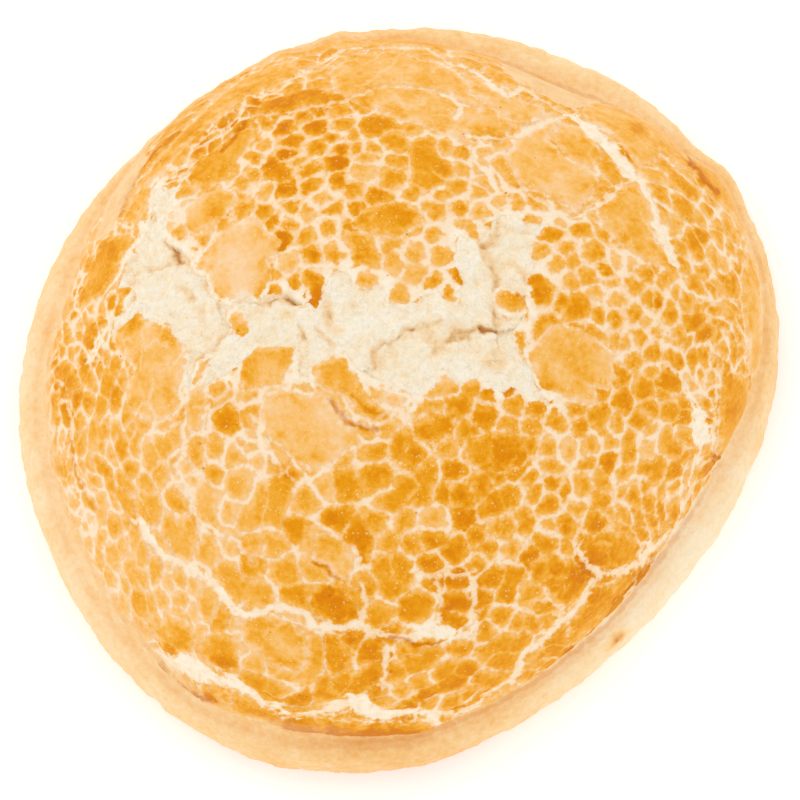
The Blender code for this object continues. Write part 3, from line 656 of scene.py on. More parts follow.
# The burst's edge, and the single plates left standing in it: middle x and y, and half width
BURST = (
    (-37.1, 27.6), (-32.8, 26.4), (-34.2, 23.2), (-35.3, 18.8), (-30.6, 15.0), (-30.3, 12.6),
    (-28.2, 11.2), (-27.8, 9.0), (-25.0, 6.6), (-22.3, 8.4), (-21.0, 7.2), (-16.7, 8.9),
    (-14.5, 7.0), (-11.6, 5.4), (-10.9, 9.0), (-9.6, 10.9), (-7.0, 10.9), (-5.8, 8.6),
    (-2.3, 8.8), (-1.7, 6.1), (2.4, 6.0), (3.6, 7.8), (6.0, 8.0), (6.8, 6.0), (8.5, 6.3),
    (9.2, 9.5), (7.6, 13.5), (8.6, 16.3), (11.1, 15.8), (13.4, 19.3), (15.4, 20.5),
    (18.7, 18.9), (21.3, 19.2), (19.2, 15.4), (19.6, 12.0), (18.5, 8.8), (17.8, 4.1),
    (16.6, 1.9), (17.6, -0.9), (20.4, -6.0), (22.1, -8.4), (16.3, -5.6), (14.5, -6.6),
    (12.2, -4.3), (8.1, -5.9), (6.1, -3.6), (4.7, -6.2), (1.8, -7.6), (-0.3, -6.0),
    (-4.2, -5.1), (-7.9, -1.3), (-11.3, -2.1), (-13.0, -4.9), (-14.9, -4.1), (-14.8, -0.2),
    (-20.6, 0.2), (-25.3, -3.8), (-28.5, -5.1), (-27.1, -0.8), (-29.6, -1.8), (-30.8, -4.9),
    (-31.5, -3.4), (-30.8, -0.2), (-34.3, 4.9), (-36.9, 5.5), (-38.3, 7.5), (-42.3, 4.7),
    (-42.7, 6.3), (-40.5, 8.1), (-39.7, 11.5), (-42.2, 12.2), (-41.1, 15.6), (-37.4, 21.0),
)
ISLANDS = (
    (-23.9, 5.1, 1.3), (-23.1, 3.2, 1.2), (16.0, 6.1, 1.9), (15.0, 7.5, 1.2), (-40.7, 10.5, 0.9),
    (-28.4, -2.1, 1.2), (-29.3, -3.8, 1.1),
)
# Tears between plates: half width, then the line each follows
TEARS = (
    (0.30, ((-13.0, 46.7), (-9.8, 48.8), (-7.3, 50.5), (-3.0, 50.6), (4.3, 51.0), (6.9, 48.0))),
    (0.62, ((6.9, 48.0), (11.4, 45.9), (13.9, 43.5), (16.1, 41.3))),
    (0.35, ((16.1, 41.3), (18.8, 43.9), (21.2, 42.0), (23.9, 39.9), (26.3, 39.5))),
    (1.30, ((26.3, 39.2), (27.9, 37.3), (30.1, 35.0), (31.8, 32.8), (33.3, 30.7), (34.6, 29.0))),
    (0.85, ((34.6, 29.0), (36.6, 26.3), (37.3, 24.7), (38.2, 20.9), (39.8, 17.1), (40.7, 14.6))),
    (0.45, ((26.3, 39.5), (21.9, 37.3), (19.1, 34.9), (17.3, 33.9), (14.9, 33.3), (9.8, 32.9))),
    (0.60, ((11.0, 29.1), (12.9, 27.0), (13.9, 24.9), (14.7, 23.6))),
    (0.40, ((14.7, 23.6), (17.7, 24.4), (22.5, 21.6), (25.3, 20.1), (29.3, 22.7), (34.7, 28.0))),
    (0.35, ((-37.4, 28.5), (-32.0, 30.2), (-31.5, 33.0), (-25.7, 35.2), (-23.3, 37.5))),
    (0.22, ((-23.3, 37.5), (-16.1, 37.4), (-8.0, 38.5), (-2.0, 42.0), (5.0, 41.0), (12.0, 38.0))),
    (0.32, ((-30.9, -4.9), (-31.2, -7.5), (-31.5, -13.2), (-32.4, -16.0), (-29.8, -22.4))),
    (0.28, ((-29.8, -22.4), (-29.0, -25.4), (-24.4, -26.8), (-21.1, -30.2))),
    (0.24, ((-27.6, -7.7), (-28.8, -11.4), (-31.5, -13.2))),
    (0.30, ((47.6, 1.2), (47.3, -4.0), (47.1, -8.0), (47.2, -11.3))),
    (0.26, ((-51.5, -0.5), (-49.9, -2.4), (-49.1, -9.1), (-48.4, -14.4), (-46.8, -17.7))),
    (0.26, ((-21.4, -9.5), (-19.8, -12.2), (-17.8, -16.0), (-16.0, -18.5), (-14.0, -19.8))),
    (0.52, ((-38.6, -22.5), (-37.1, -25.8), (-34.7, -28.6), (-30.2, -30.8), (-27.5, -32.5))),
    (0.66, ((-27.5, -32.5), (-25.3, -35.4), (-22.3, -37.3))),
    (0.56, ((-22.3, -37.3), (-16.7, -36.5), (-14.1, -37.1), (-12.1, -39.2), (-6.2, -39.3))),
    (0.50, ((-6.2, -39.3), (1.5, -41.1), (4.0, -39.2), (7.4, -40.8), (10.3, -39.8))),
    (0.40, ((-26.9, -45.8), (-18.6, -49.7), (-16.1, -51.2), (-11.5, -50.3))),
    (0.55, ((-11.5, -50.3), (-7.1, -49.4), (-2.6, -51.0), (3.7, -50.4), (6.2, -51.9))),
    (0.62, ((26.1, -27.4), (27.5, -29.4), (29.8, -30.6), (33.8, -29.6), (36.4, -27.6), (38.0, -25.5))),
    (0.50, ((28.6, -31.5), (26.8, -34.5), (23.8, -37.5), (20.9, -40.4), (18.2, -42.7), (16.8, -45.6))),
    (0.20, ((39.8, 34.3), (41.8, 31.0), (44.2, 29.3), (46.7, 27.1), (48.2, 24.1))),
    (0.50, ((6.0, 40.7), (7.8, 40.1), (9.3, 38.3), (8.4, 36.0))),
    (0.42, ((-23.2, 41.2), (-24.0, 37.8), (-26.4, 36.0), (-29.4, 35.2), (-31.2, 33.3))),
    (0.36, ((-32.9, 30.2), (-31.1, 31.1), (-32.0, 28.7), (-34.8, 29.0), (-37.3, 28.8))),
    (0.30, ((5.5, -50.4), (8.3, -50.6), (12.0, -48.8), (12.6, -48.0), (14.5, -46.7), (18.0, -44.7))),
    (0.24, ((-13.2, -50.7), (-10.7, -51.0), (-8.1, -50.9))),
    (0.25, ((38.0, -25.5), (41.5, -22.5), (43.5, -17.5), (44.5, -12.0))),
    (0.30, ((43.0, -4.5), (41.8, -2.6), (40.6, -0.8))),
    (0.50, ((-5.5, -33.3), (-5.1, -36.0), (-5.6, -39.0))),
    (0.60, ((-1.9, -42.1), (-2.3, -44.4), (-2.5, -47.0))),
    (0.36, ((1.8, -31.7), (4.4, -32.5), (7.0, -32.3), (9.1, -32.1), (11.0, -31.6))),
    (0.44, ((5.4, -33.4), (5.9, -36.2), (5.4, -38.6))),
    (0.55, ((10.8, -32.6), (11.0, -35.6), (10.3, -39.4))),
    (0.42, ((-7.5, -33.5), (-6.3, -31.8), (-5.8, -29.8), (-6.8, -28.7))),
    (0.26, ((-10.1, -7.9), (-7.5, -11.1), (-3.1, -12.3))),
    (0.50, ((-22.9, -12.5), (-19.8, -13.9), (-17.6, -16.3))),
)
# How high a crack's floor, a plate and a torn lip stand, and how far the topping dips under at
# the burst and at the side
FLOOR_LIFT = 0.10
PLATE_LIFT = 0.30
LIP_LIFT = 0.22
BURST_DROP = 2.6
RIM_DROP = 1.9
# The seeded throw of cell middles: its seed, how many, and how much size and tone vary
PLATE_SEED = 5
THROWS = 26000
CELL_SPREAD = (0.55, 1.15)
TONE_SPREAD = 0.09
# Numbers of the plates that are listed, and of those that are thrown, count up from these
LAID, THROWN = 100, 500
# How softly a plate's cells melt into one outline, and how softly their tones do
MELT, TONE_MELT = 0.58, 0.9
FAR = np.float32(1e3)
# Points worked on at a time
BLOCK = 6000
# The topping's three fields, and the middle x and y of each
FIELDS = {"topping_north": (-8, 34), "topping_east": (36, -4), "topping_south": (-12, -24)}


def disc_to_plan(place):
    """Where places on the flat disc lie, seen from above, and their angles round and down."""
    angle = np.arctan2(place[:, 1], place[:, 0])
    down = np.hypot(place[:, 0], place[:, 1]) / REACH
    radius = edge_radius(angle) * np.sin(down) / math.sin(EDGE_ANGLE)
    return np.stack([np.cos(angle) * radius, np.sin(angle) * radius], axis=1), angle, down


def on_dome(place, lift):
    """Points of the dome for places on the flat disc, lifted along the dome's normal."""
    plan, angle, down = disc_to_plan(place)
    rise = LOAF_TOP - EDGE_HEIGHT
    height = (np.cos(down) - math.cos(EDGE_ANGLE)) / (1 - math.cos(EDGE_ANGLE))
    swell = sum(
        high * np.exp(-((plan[:, 0] - x) ** 2 + (plan[:, 1] - y) ** 2) / wide ** 2)
        for x, y, wide, high in LOBES
    )
    swell = swell * (1 - np.clip(down / EDGE_ANGLE, 0, 1) ** 4)
    slope = np.stack([rise * np.sin(down), REACH * np.cos(down)])
    slope = slope / np.hypot(*slope)
    normal = np.stack([slope[0] * np.cos(angle), slope[0] * np.sin(angle), slope[1]], axis=1)
    point = np.concatenate([plan, (EDGE_HEIGHT + rise * height)[:, None]], axis=1)
    return point + normal * (lift + swell)[:, None]


def plan_to_disc(spot):
    """The places on the flat disc of points seen from above."""
    spot = np.asarray(spot, float)
    angle = np.arctan2(spot[:, 1], spot[:, 0])
    share = np.minimum(1.0, np.hypot(spot[:, 0], spot[:, 1]) / edge_radius(angle))
    down = np.arcsin(share * math.sin(EDGE_ANGLE)) * REACH
    return np.stack([np.cos(angle) * down, np.sin(angle) * down], axis=1)


def by_zone(zones, usual, spot):
    """A value that follows the zones near them, and is the usual one elsewhere."""
    total = np.full(len(spot), 0.15 * usual)
    weights = np.full(len(spot), 0.15)
    for x, y, wide, value in zones:
        weight = np.exp(-((spot[:, 0] - x) ** 2 + (spot[:, 1] - y) ** 2) / wide ** 2)
        total += weight * value
        weights += weight
    return total / weights


def beside_line(line, spot):
    """Distance from each point to a line of straight stretches, and the side it lies on."""
    best = np.full(len(spot), np.inf)
    side = np.zeros(len(spot))
    for start, end in zip(line, line[1:]):
        start, run = np.array(start), np.subtract(end, start)
        share = np.clip(((spot - start) @ run) / (run @ run), 0, 1)
        gap = spot - start - share[:, None] * run
        away = np.hypot(gap[:, 0], gap[:, 1])
        side = np.where(away < best, np.sign(run[0] * gap[:, 1] - run[1] * gap[:, 0]), side)
        best = np.minimum(best, away)
    return best, side


def line_distance(line, spot):
    """Distance from each point to a line of straight stretches."""
    return beside_line(line, spot)[0]


def ring_distance(ring, spot):
    """Distance outside a closed outline; below 0 inside it."""
    inside = np.zeros(len(spot), bool)
    ring = ring + ring[:1]
    for (x0, y0), (x1, y1) in zip(ring, ring[1:]):
        if y0 != y1:
            over = (y0 > spot[:, 1]) != (y1 > spot[:, 1])
            inside ^= over & (spot[:, 0] < x0 + (spot[:, 1] - y0) * (x1 - x0) / (y1 - y0))
    return line_distance(ring, spot) * np.where(inside, -1, 1)


def burst_distance(spot):
    """Distance outside the burst's edge; below 0 inside it."""
    away = ring_distance(BURST, spot)
    for x, y, half in ISLANDS:
        away = np.maximum(away, half - np.hypot(spot[:, 0] - x, spot[:, 1] - y))
    return away


def burst_at(places):
    """Distance outside the burst's edge for places on the flat disc."""
    return burst_distance(disc_to_plan(places)[0])


def lattice(spacing, keep):
    """An even net of triangles over the flat disc, where keep(places) says so."""
    half = int(REACH * LOWEST / spacing / 0.866) + 2
    rows = np.arange(-half, half + 1)
    column, row = np.meshgrid(rows, rows)
    place = np.stack([(column + (row % 2) * 0.5) * spacing, row * spacing * 0.866], axis=2)
    flat = place.reshape(-1, 2)
    use = np.hypot(flat[:, 0], flat[:, 1]) < REACH * LOWEST
    use[use] = keep(flat[use])
    index = np.arange(len(flat)).reshape(place.shape[:2])
    here, right = index[:-1, :-1], index[:-1, 1:]
    up, up_right = index[1:, :-1], index[1:, 1:]
    odd = (row[:-1, :-1] % 2 == 1)[..., None]
    first = np.where(odd, np.stack([here, right, up_right], 2), np.stack([here, right, up], 2))
    second = np.where(odd, np.stack([here, up_right, up], 2), np.stack([right, up_right, up], 2))
    faces = np.concatenate([first.reshape(-1, 3), second.reshape(-1, 3)])
    faces = faces[use[faces].all(axis=1)]
    used, faces = np.unique(faces, return_inverse=True)
    return flat[used], faces.reshape(-1, 3)


def flatten(points, spot):
    """Points as the cells measure them: drawn out upwards where the cells lie flat."""
    level = np.ones(len(spot))
    return points * np.stack([level, level, by_zone(FLAT_ZONES, 1.0, spot)], axis=1)


def shifts(smooth, count, seed, wavelength, octaves):
    """A shift of each point in two or three directions, by noise."""
    return np.stack([rough(smooth, wavelength, octaves, seed + k) for k in range(count)], axis=1)


def torn(plan, smooth):
    """Places moved a little, so that a straight line comes out torn."""
    return plan + shifts(smooth, 2, 60, 2.4, 4) * 0.42


def place_plates():
    """Cell middles on the dome, each with its plate, tone and bulk: a bulky cell takes more room."""
    rng = np.random.default_rng(PLATE_SEED)
    spots, plates, tones, bulks = [], [], [], []

    def add(x, y, plate, tone, bulk):
        spots.append((x, y))
        plates.append(plate)
        tones.append(tone)
        bulks.append(bulk)

    for x, y, tone in PLATES:
        add(x, y, LAID + len(plates), tone, rng.uniform(-0.2, 0.4))

    radius = REACH * LOWEST * np.sqrt(rng.random(THROWS))
    turn = rng.uniform(0, math.tau, THROWS)
    thrown = np.stack([radius * np.cos(turn), radius * np.sin(turn)], axis=1)
    seen = disc_to_plan(thrown)[0]
    room = by_zone(CELL_ZONES, CELL, seen) * rng.uniform(*CELL_SPREAD, THROWS)
    tone = by_zone(TONE_ZONES, TONE, seen) + rng.normal(0, TONE_SPREAD, THROWS)
    joining = rng.random(THROWS) < by_zone(JOIN_ZONES, JOIN, seen)
    shrink = np.sin(radius / REACH) / np.maximum(radius / REACH, 1e-6)
    places = np.full((THROWS, 2), np.inf)
    places[:len(spots)] = plan_to_disc(spots)
    for k in range(THROWS):
        count = len(spots)
        gaps = np.hypot(*(places[:count] - thrown[k]).T) * shrink[k]
        nearest = int(gaps.argmin())
        if gaps[nearest] < room[k]:
            continue
        join = joining[k] and plates[nearest] >= THROWN
        places[count] = thrown[k]
        mixed = 0.6 * tones[nearest] + 0.4 * tone[k] if join else tone[k]
        plate = plates[nearest] if join else THROWN + count
        add(*seen[k], plate, mixed, rng.uniform(-0.16, 0.16) * room[k])
    middles = flatten(on_dome(places[:len(spots)], np.zeros(len(spots))), np.array(spots))
    return middles, np.array(plates), np.array(tones), np.array(bulks)


def chance(first, second):
    """A fixed number from 0 to 1 for each pair of cells, whichever comes first."""
    low, high = np.minimum(first, second).astype(np.int64), np.maximum(first, second).astype(np.int64)
    code = scramble(low * 73856093 ^ high * 19349663)
    return ((code ^ code >> 15) & 4095) / 4095


def split(points, middles, plates, tones, bulks):
    """For each point: its distance in from its plate's edge and from its cell's edge, the chance
    number of each of those edges, its tone, and its cell."""
    results = np.empty((6, len(points)))
    middles = middles.astype(np.float32)
    size = (middles ** 2).sum(axis=1)[None]
    for start in range(0, len(points), BLOCK):
        rows = slice(start, start + BLOCK)
        spot = points[rows].astype(np.float32)
        away = np.maximum((spot ** 2).sum(axis=1)[:, None] + size - 2 * spot @ middles.T, 0)
        away = np.sqrt(away) - bulks[None].astype(np.float32)
        nearest = away.argmin(axis=1)
        own = plates[None] == plates[nearest][:, None]
        closest = away.min(axis=1)
        rivals = np.where(own, FAR, away)
        rival = rivals.min(axis=1)
        pull = np.where(own, np.exp((closest[:, None] - away) / MELT), 0)
        push = np.exp((rival[:, None] - rivals) / MELT)
        inner = closest - MELT * np.log(pull.sum(axis=1))
        outer = rival - MELT * np.log(push.sum(axis=1))
        away[np.arange(len(away)), nearest] = FAR
        second = away.min(axis=1)
        pull = pull ** (MELT / TONE_MELT)
        results[0, rows] = (outer - inner) * 0.55
        results[1, rows] = (second - closest) * 0.55
        results[2, rows] = chance(nearest, rivals.argmin(axis=1))
        results[3, rows] = chance(nearest, away.argmin(axis=1))
        results[4, rows] = (pull @ tones) / pull.sum(axis=1)
        results[5, rows] = nearest
    return results


def topping_skin():
    """Baked paste: gold plates, darkest in the middle, with cream crumb showing between."""
    finish = Finish("crackled topping", 0.55, 0.08)
    edge = finish.number("edge") + finish.grain(1.0, 8.0) * 0.34
    vein = finish.number("vein") + finish.grain(0.8, 4.0) * 0.18
    wide = finish.number("wide")
    inside = finish.step(edge, 0.0, 1.0)
    fine = (1 - finish.step(vein, 0.0, 0.50)) * finish.number("faint")
    opened = 1 - finish.step(edge, -0.42, 0.12)
    # Brown where the topping doubled over, and painted shadow under flap edges; both darken the tone
    # here
    fold_and_shadow_dark = finish.number("fold") * 1.3 + finish.grain(1.0, 3.0) * 0.10 - 0.06
    mottle = finish.grain(2.4, 3.0) * 0.08 + finish.grain(0.75, 3.0) * 0.10
    mottle = mottle + finish.grain(0.3, 2.0) * 0.06
    pale = finish.number("tone") + (1 - inside) * 0.27 + fine * 0.34 + opened * 0.54
    pale = pale + mottle - fold_and_shadow_dark * 0.55
    colour = finish.ramp(
        pale * 0.8,
        (0.0, (221, 128, 0)), (0.12, (230, 142, 4)), (0.25, (239, 159, 28)),
        (0.38, (246, 176, 68)), (0.52, (250, 191, 108)), (0.68, (251, 203, 143)),
        (0.84, (252, 214, 168)), (1.0, (254, 228, 194)),
    )
    torn = finish.grain(1.1, 5.0)
    white = finish.mix(finish.step(torn, -0.5, 1.1) * 0.7, paint(255, 242, 218), paint(249, 214, 164))
    colour = finish.mix(opened * wide, colour, white)
    crest = finish.step(finish.grain(0.6, 3.0) + wide * 0.6, 0.5, 1.3) * opened * (1 - opened) * 2.6
    colour = finish.mix(crest, colour, paint(255, 242, 218))
    dough = finish.ramp(
        finish.grain(3.0, 3.0) * 0.3 + finish.grain(0.6, 3.0) * 0.2 + 0.5,
        (0.0, (238, 186, 120)), (0.5, (248, 203, 144)), (1.0, (254, 220, 170)))
    # Painted shade: brown-grey spots in the deep pits of the open cracks
    crack_pit_shade = finish.step(finish.grain(0.8, 5.0), 0.4, 1.3) * opened
    colour = finish.mix(crack_pit_shade * 0.5, colour, paint(212, 162, 104))
    colour = finish.mix(finish.number("bare"), colour, dough)
    # Brown of the folds and painted shadow under the flaps' edges
    colour = finish.mix(fold_and_shadow_dark * 0.6, colour, paint(204, 114, 4))
    # Pale specks: painted glints on the glossy paste, partly tiny pale bubbles
    glint_and_bubble_specks = finish.step(finish.dots(0.7) + finish.grain(1.6, 3.0) * 0.16, 0.20, 0.02)
    colour = finish.mix(glint_and_bubble_specks * 0.55, colour, paint(255, 226, 176))
    pricks = finish.step(finish.dots(4.2) + finish.grain(3.0) * 0.03, 0.05, 0.02)
    colour = finish.mix(pricks * 0.6, colour, paint(170, 90, 20))
    freckles = finish.step(finish.grain(1.8, 3.0), 0.85, 1.5) * inside
    colour = finish.mix(freckles * 0.35, colour, paint(206, 110, 8))
    height = finish.grain(0.5, 3.0) * 0.6 + finish.grain(0.22, 2.0) * 0.4 + torn * opened * 2.0
    return finish.done(colour, height, 0.03)


def lay_broad_plates(plan, ragged, smooth, crack, cell_edge, edge, vein, faint, tone):
    """Lay the broad plates over the cells, each with its own edge, veins and tone."""
    blotch = rough(smooth, 4.5, 3, 78) * 0.17
    lobes = np.clip(rough(smooth, 3.4, 2, 79) * 1.4 + 0.3, 0, 1)
    for pale, veins, outline in BROAD_PLATES:
        close = np.ptp(outline, axis=0).max() * 0.7 + 3
        near = (np.abs(plan - np.mean(outline, axis=0)) < close).all(axis=1)
        away = ring_distance(outline, ragged[near])
        inside = away < 0
        gap = np.minimum(crack[near] * 0.7, 0.34)
        edge[near] = np.where(inside, -away - gap, np.minimum(edge[near], away - gap))
        vein[near] = np.where(inside, np.minimum(vein[near], cell_edge[near]), vein[near])
        faint[near] = np.where(inside, faint[near] * veins, faint[near])
        gold = lobes[near] * (0.08 + max(pale - 0.3, 0)) * np.exp(away / 1.6)
        own_tone = pale + 0.3 * (tone[near] - TONE) + blotch[near] - gold
        tone[near] = np.where(inside, own_tone, tone[near])


def open_tears(ragged, smooth, burst):
    """Distance outside the nearest tear, and how wide and white the nearest opening is."""
    tear = np.full(len(ragged), np.inf)
    wide = smooth_step(3.2, 0.3, burst)
    wander = 0.85 + 0.6 * rough(smooth, 4.0, 2, 80)
    for half, line in TEARS:
        away = line_distance(line, ragged) - half * wander - 0.06
        wide = np.maximum(wide, smooth_step(0.9, 0.1, away) * min(1.0, 0.2 + 0.7 * half))
        tear = np.minimum(tear, away)
    for outline in OPENINGS:
        away = ring_distance(outline, ragged)
        wide = np.maximum(wide, smooth_step(0.9, 0.1, away))
        tear = np.minimum(tear, away)
    return tear, wide


def relief(smooth, edge, vein, faint, fold, bare, opened):
    """How far each point stands off the dome: high on a plate, low in a crack."""
    rise = smooth_step(-0.15, 0.35, edge) * 0.8 + smooth_step(0.2, 1.3, edge) * 0.2
    lip = np.exp(-np.maximum(opened, 0) / 1.3) * LIP_LIFT + fold * 0.10
    grit = rough(smooth, 2.8, 2, 100) * 0.07 + rough(smooth, 0.9, 2, 110) * 0.03
    crumb = rough(smooth, 1.1, 3, 120) * 0.10 * (1 - bare)
    seam = (1 - smooth_step(0.0, 0.35, vein)) * 0.10 * faint
    return FLOOR_LIFT + rise * (PLATE_LIFT + lip + grit - seam) + (1 - rise) * crumb


def share_out(points, faces, nearest, looks):
    """Give each face to the field that its cell is nearest to, and make the fields."""
    across = CELLS[0][:, None, :2] - np.array(list(FIELDS.values()))[None]
    cell_home = np.hypot(across[..., 0], across[..., 1]).argmin(axis=1)
    field = cell_home[nearest.astype(int)][faces[:, 0]]
    for number, name in enumerate(FIELDS):
        used, own = np.unique(faces[field == number], return_inverse=True)
        looks_here = {label: numbers[used] for label, numbers in looks.items()}
        skin(name, points[used], own.reshape(-1, 3), TOPPING, **looks_here)


def make_topping():
    """The topping in three fields of plates, which meet along cracks."""
    place, faces = lattice(LATTICE, lambda places: burst_at(places) > -OVER_BURST)
    smooth = on_dome(place, np.zeros(len(place)))
    plan, angle, down = disc_to_plan(place)
    ragged = torn(plan, smooth)
    burst = burst_distance(ragged)
    warp = shifts(smooth, 3, 40, 6.0, 1) * 0.60 + shifts(smooth, 3, 50, 2.6, 4) * 0.50
    cells = split(flatten(smooth + warp, plan), *CELLS)
    cell_edge, vein, gap_chance, vein_chance, tone, nearest = cells
    crack = by_zone(CRACK_ZONES, CRACK_HALF, plan) * (1 + 0.75 * rough(smooth, 6.0, 2, 70))
    crack = crack + 0.42 * np.exp(-np.maximum(burst, 0) / 2.4)
    edge = cell_edge - crack * (0.45 + 0.85 * gap_chance)
    faint = smooth_step(0.25, 1.0, vein_chance)
    tone = tone + rough(smooth, 5.5, 2, 75) * 0.08
    lay_broad_plates(plan, ragged, smooth, crack, cell_edge, edge, vein, faint, tone)

    tear, wide = open_tears(ragged, smooth, burst)
    opened = np.minimum(tear, burst)
    fold = np.max([
        strength * np.exp(-((line_distance(line, ragged) / half) ** 2))
        for strength, half, line in FOLDS_AND_SHADOWS
    ], axis=0)
    for x, y, size, change in PATCHES:
        away = np.hypot(ragged[:, 0] - x, ragged[:, 1] - y)
        tone = tone + change * np.exp(-((away / size) ** 2))
    tone = tone + (rough(smooth, 6.0, 2, 95) - 0.15) * 0.45 * np.exp(-np.maximum(opened, 0) / 1.1)

    rim = (EDGE_ANGLE - 0.016 - 0.022 * rough(smooth, 8.0, 4, 90) - down) * REACH * 0.62
    fading = around(FADING, angle) * smooth_step(4.0, 0.3, rim + rough(smooth, 5.0, 3, 98) * 1.2)
    bare = np.min([ring_distance(outline, ragged) for outline in BARE], axis=0)
    edge = np.minimum(np.minimum(edge, opened), np.minimum(rim, bare))
    bare = np.maximum(smooth_step(0.0, -0.5, bare), fading)
    lift = relief(smooth, edge, vein, faint, fold, bare, opened)
    lift = lift - BURST_DROP * smooth_step(0.0, 1.1, -burst) - RIM_DROP * smooth_step(0.0, 0.5, -rim)
    looks = {"edge": edge, "vein": vein, "faint": faint, "tone": tone, "wide": wide, "bare": bare,
             "fold": fold}
    share_out(on_dome(place, lift), faces, nearest, looks)


CELLS = place_plates()
TOPPING = topping_skin()
make_topping()


# The crumb.  Where the loaf burst, the topping and skin drew apart and the soft white inside
# tore into ridges, hollows and one deep slit.
CRUMB_LATTICE = 0.22
# How far it runs on under the plates, how low it lies, its top, and how deep its edge is tucked
UNDER_PLATES = 2.0
CRUMB_LEVEL = -0.35
CRUMB_TOP = 0.6
TUCK = 1.5
# Steps in the torn crumb: height, softness, and the line, with the higher side on its left and painted
# shade on its lower side
STEPS = (
    (1.3, 0.9, (
        (-4.6, -3.1), (-2.3, -0.3), (0.6, 1.5), (2.4, 2.8), (5.5, 3.4), (8.7, 2.7), (14.0, 2.7))),
    (1.0, 0.5, ((14.0, 3.9), (14.4, 7.8), (14.4, 10.3), (13.4, 12.4), (11.7, 14.5), (10.8, 16.1))),
    (0.9, 0.6, ((-24.7, 3.3), (-25.9, 1.5), (-28.3, -0.7), (-29.7, -2.6))),
    (0.8, 0.8, ((-27.5, 8.0), (-28.4, 10.5), (-30.6, 12.9), (-32.4, 14.9))),
    (0.8, 0.8, ((-14.5, 6.8), (-17.4, 6.8), (-20.1, 6.9))),
)
# How far a step is felt to each side
STEP_REACH = 3.2
# Fissures in it: depth, half width, how dark their painted shade is, and the line
FISSURES = (
    (0.9, 0.45, 0.28, ((-4.2, -2.9), (-3.4, -1.0), (-2.3, 0.0), (-0.5, 0.9), (0.6, 1.8), (1.9, 2.8))),
    (0.5, 0.35, 0.35, ((1.9, 2.8), (3.8, 3.0), (6.0, 3.6))),
    (0.6, 0.40, 0.40, ((6.8, 0.8), (8.0, 1.4), (9.3, 1.9), (10.6, 2.3))),
    (1.3, 0.45, 0.85, ((11.6, 2.5), (12.5, 2.4), (13.5, 2.4))),
    (0.8, 0.60, 0.35, (
        (11.6, 15.3), (12.3, 13.9), (13.4, 12.4), (14.4, 10.3), (14.3, 7.8), (13.8, 3.9))),
    (0.6, 0.60, 0.36, ((-34.3, 18.4), (-33.5, 17.4), (-33.2, 16.2), (-32.4, 14.9))),
    (0.8, 0.80, 0.35, ((-31.9, 10.2), (-31.2, 9.1), (-30.6, 8.1))),
    (1.8, 0.80, 0.95, ((-19.2, 8.2), (-18.0, 8.0), (-16.4, 8.0), (-14.7, 7.1))),
    (0.7, 0.45, 0.36, (
        (-24.7, 2.5), (-25.8, 1.7), (-26.8, 0.6), (-28.0, -0.4), (-29.2, -1.6), (-29.7, -3.2))),
    (0.5, 0.35, 0.30, ((-14.5, 3.1), (-14.0, 1.4))),
    (0.5, 0.35, 0.30, ((-11.9, 2.2), (-10.4, 0.7), (-9.1, -0.6))),
    (0.6, 0.80, 0.30, ((-10.7, 6.1), (-10.4, 4.7), (-10.0, 3.2))),
    (0.5, 0.50, 0.30, ((12.0, 15.3), (13.8, 16.9), (14.5, 18.7))),
    (0.4, 0.40, 0.25, ((15.8, 17.8), (17.0, 18.0), (19.1, 17.6))),
    (0.5, 0.60, 0.30, ((17.2, 12.1), (18.1, 10.6), (18.7, 9.1))),
    (0.5, 0.40, 0.25, ((-40.0, 12.5), (-39.6, 14.0), (-38.5, 14.5), (-36.2, 14.2), (-34.2, 14.6))),
    (0.5, 1.70, 0.34, ((4.5, 2.2), (5.0, 0.0))),
    (0.5, 1.50, 0.36, ((-33.2, 16.6), (-32.4, 14.6))),
    (0.6, 1.20, 0.25, ((12.6, -1.6), (14.8, -2.0))),
)


def crumb_skin():
    """Soft white crumb with fine torn fibres, and cream to brown painted shade in its hollows and
    fissures.
    """
    finish = Finish("white crumb", 0.85)
    fuzz = finish.grain(1.0, 5.0, 0.8)
    pores = finish.step(fuzz, 0.4, 1.5) * 0.17
    lumps = finish.grain(2.4, 6.0, 0.8) * 0.22 + finish.grain(0.5, 3.0) * 0.07
    # Painted shade from the mesh, darker where the crumb lies low, with grain on top
    hollow = finish.number("hollow") + lumps + pores
    colour = finish.ramp(
        hollow,
        (0.0, (253, 245, 227)), (0.3, (254, 237, 207)), (0.55, (251, 220, 175)),
        (0.78, (230, 186, 128)), (1.0, (206, 148, 76)),
    )
    blush = finish.step(finish.grain(4.0, 3.0), 0.4, 1.4)
    colour = finish.mix(blush * 0.35, colour, paint(252, 226, 186))
    # Painted light: a faint warm glow that lifts the crumb's shade, though the crumb is no lamp
    finish.glow(paint(255, 226, 180), 0.045)
    height = fuzz * -0.7 + finish.grain(0.28, 2.0) * 0.3
    return finish.done(colour, height, 0.17)


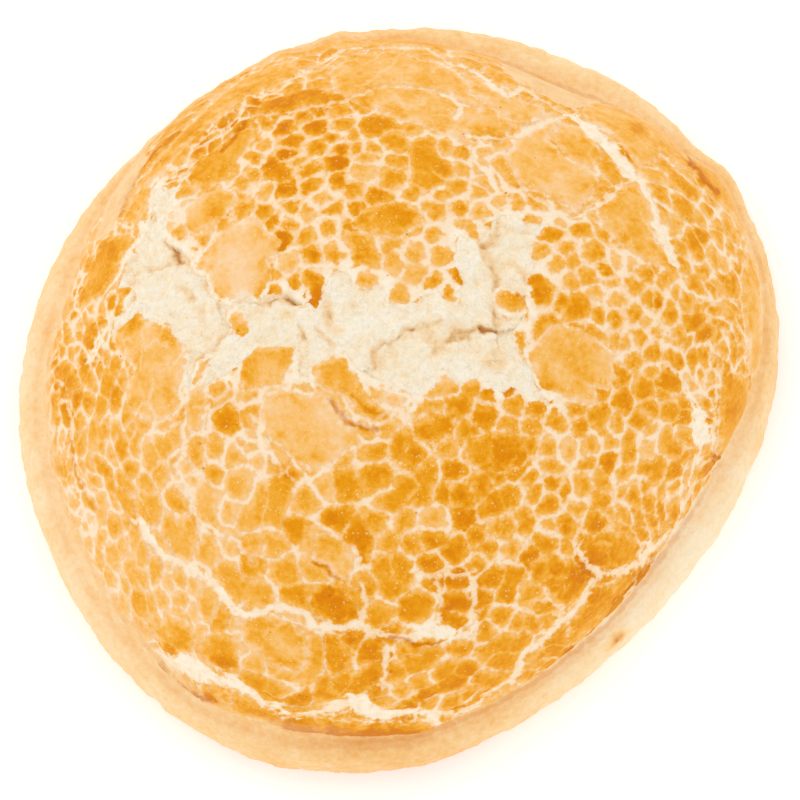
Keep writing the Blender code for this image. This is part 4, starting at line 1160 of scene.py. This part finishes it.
def make_crumb():
    """The torn surface between the plates' ragged edges, tucked under them all round."""
    place, faces = lattice(CRUMB_LATTICE, lambda places: burst_at(places) < UNDER_PLATES)
    smooth = on_dome(place, np.zeros(len(place)))
    plan = disc_to_plan(place)[0]
    burst = burst_distance(torn(plan, smooth))
    bent = plan + shifts(smooth, 2, 140, 3.0, 3) * 0.7
    lumps = rough(smooth, 7.0, 3, 160) * 0.55 + (0.4 - np.abs(rough(smooth, 4.6, 4, 150))) * 0.9
    pores = rough(smooth, 1.3, 4, 170) * 0.17
    lift = CRUMB_LEVEL + lumps + pores
    # Painted shade: darker where the crumb lies low, on the lower side of each step and in fissures
    hollow = 0.24 - lumps * 0.16 - pores * 0.55
    for high, softness, line in STEPS:
        away, side = beside_line(line, bent)
        fade = np.exp(-((away / STEP_REACH) ** 2))
        lift = lift + high * 0.5 * np.tanh(side * away / softness) * fade
        hollow = hollow + 0.12 * smooth_step(0.0, -1.0, side * away / softness) * fade
    for depth, half, dark, line in FISSURES:
        away = np.exp(-((line_distance(line, bent) / half) ** 2))
        lift = lift - depth * away
        hollow = hollow + dark * away
    lift = np.minimum(lift, CRUMB_TOP) - TUCK * smooth_step(-0.2, 1.4, burst)
    skin("crumb", on_dome(place, lift), faces, crumb_skin(), hollow=np.clip(hollow, 0, 1))


make_crumb()


# The studio: a pale floor, one broad soft light over the far left corner, and white all round.
# Lengths here are in metres, and the camera looks down from the front.
ELEVATION = math.radians(80.0)
DISTANCE = 0.62
AIM = (0.00003, -0.00097, 0.008)
LENS, SENSOR = 180, 36
FLOOR_SIZE = 4.0
FLOOR_GLOW = 0.24
SKY = (1.0, 0.998, 0.994, 1.0)
SKY_STRENGTH = 0.952
LAMP_SIZE = 0.7
LAMP_POWER = 0.8
LAMP_PLACE = (-0.45, 0.45, 0.95)
LAMP_TILT = math.radians(-25)


def make_studio():
    """Floor, lights and the camera that looks down on the roll."""
    bpy.ops.mesh.primitive_plane_add(size=FLOOR_SIZE)
    floor = bpy.context.object
    floor.name = "floor"
    finish = Finish("pale floor", 0.9)
    tint = finish.grain(400.0) * 0.01 + 0.5
    finish.tree.links.new(
        finish.ramp(tint, (0.0, (250, 250, 250)), (1.0, (253, 253, 253))).socket,
        finish.surface.inputs["Base Color"])
    finish.glow((1.0, 1.0, 1.0, 1.0), FLOOR_GLOW)
    floor.data.materials.append(finish.material)

    scene = bpy.context.scene
    world = bpy.data.worlds.new("studio")
    world.use_nodes = True
    sky = world.node_tree.nodes["Background"].inputs
    sky["Color"].default_value = SKY
    sky["Strength"].default_value = SKY_STRENGTH
    scene.world = world
    scene.view_settings.view_transform = "Standard"

    lamp = bpy.data.lights.new("softbox", "AREA")
    lamp.shape = "DISK"
    lamp.size = LAMP_SIZE
    lamp.energy = LAMP_POWER
    box = bpy.data.objects.new("softbox", lamp)
    box.location = LAMP_PLACE
    box.rotation_euler = (LAMP_TILT, LAMP_TILT, 0)
    bpy.context.collection.objects.link(box)

    view = bpy.data.cameras.new("camera")
    view.sensor_width = SENSOR
    view.lens = LENS
    camera = bpy.data.objects.new("camera", view)
    camera.location = (
        AIM[0], AIM[1] - DISTANCE * math.cos(ELEVATION), AIM[2] + DISTANCE * math.sin(ELEVATION))
    camera.rotation_euler = (math.radians(90) - ELEVATION, 0, 0)
    bpy.context.collection.objects.link(camera)
    scene.camera = camera


make_studio()
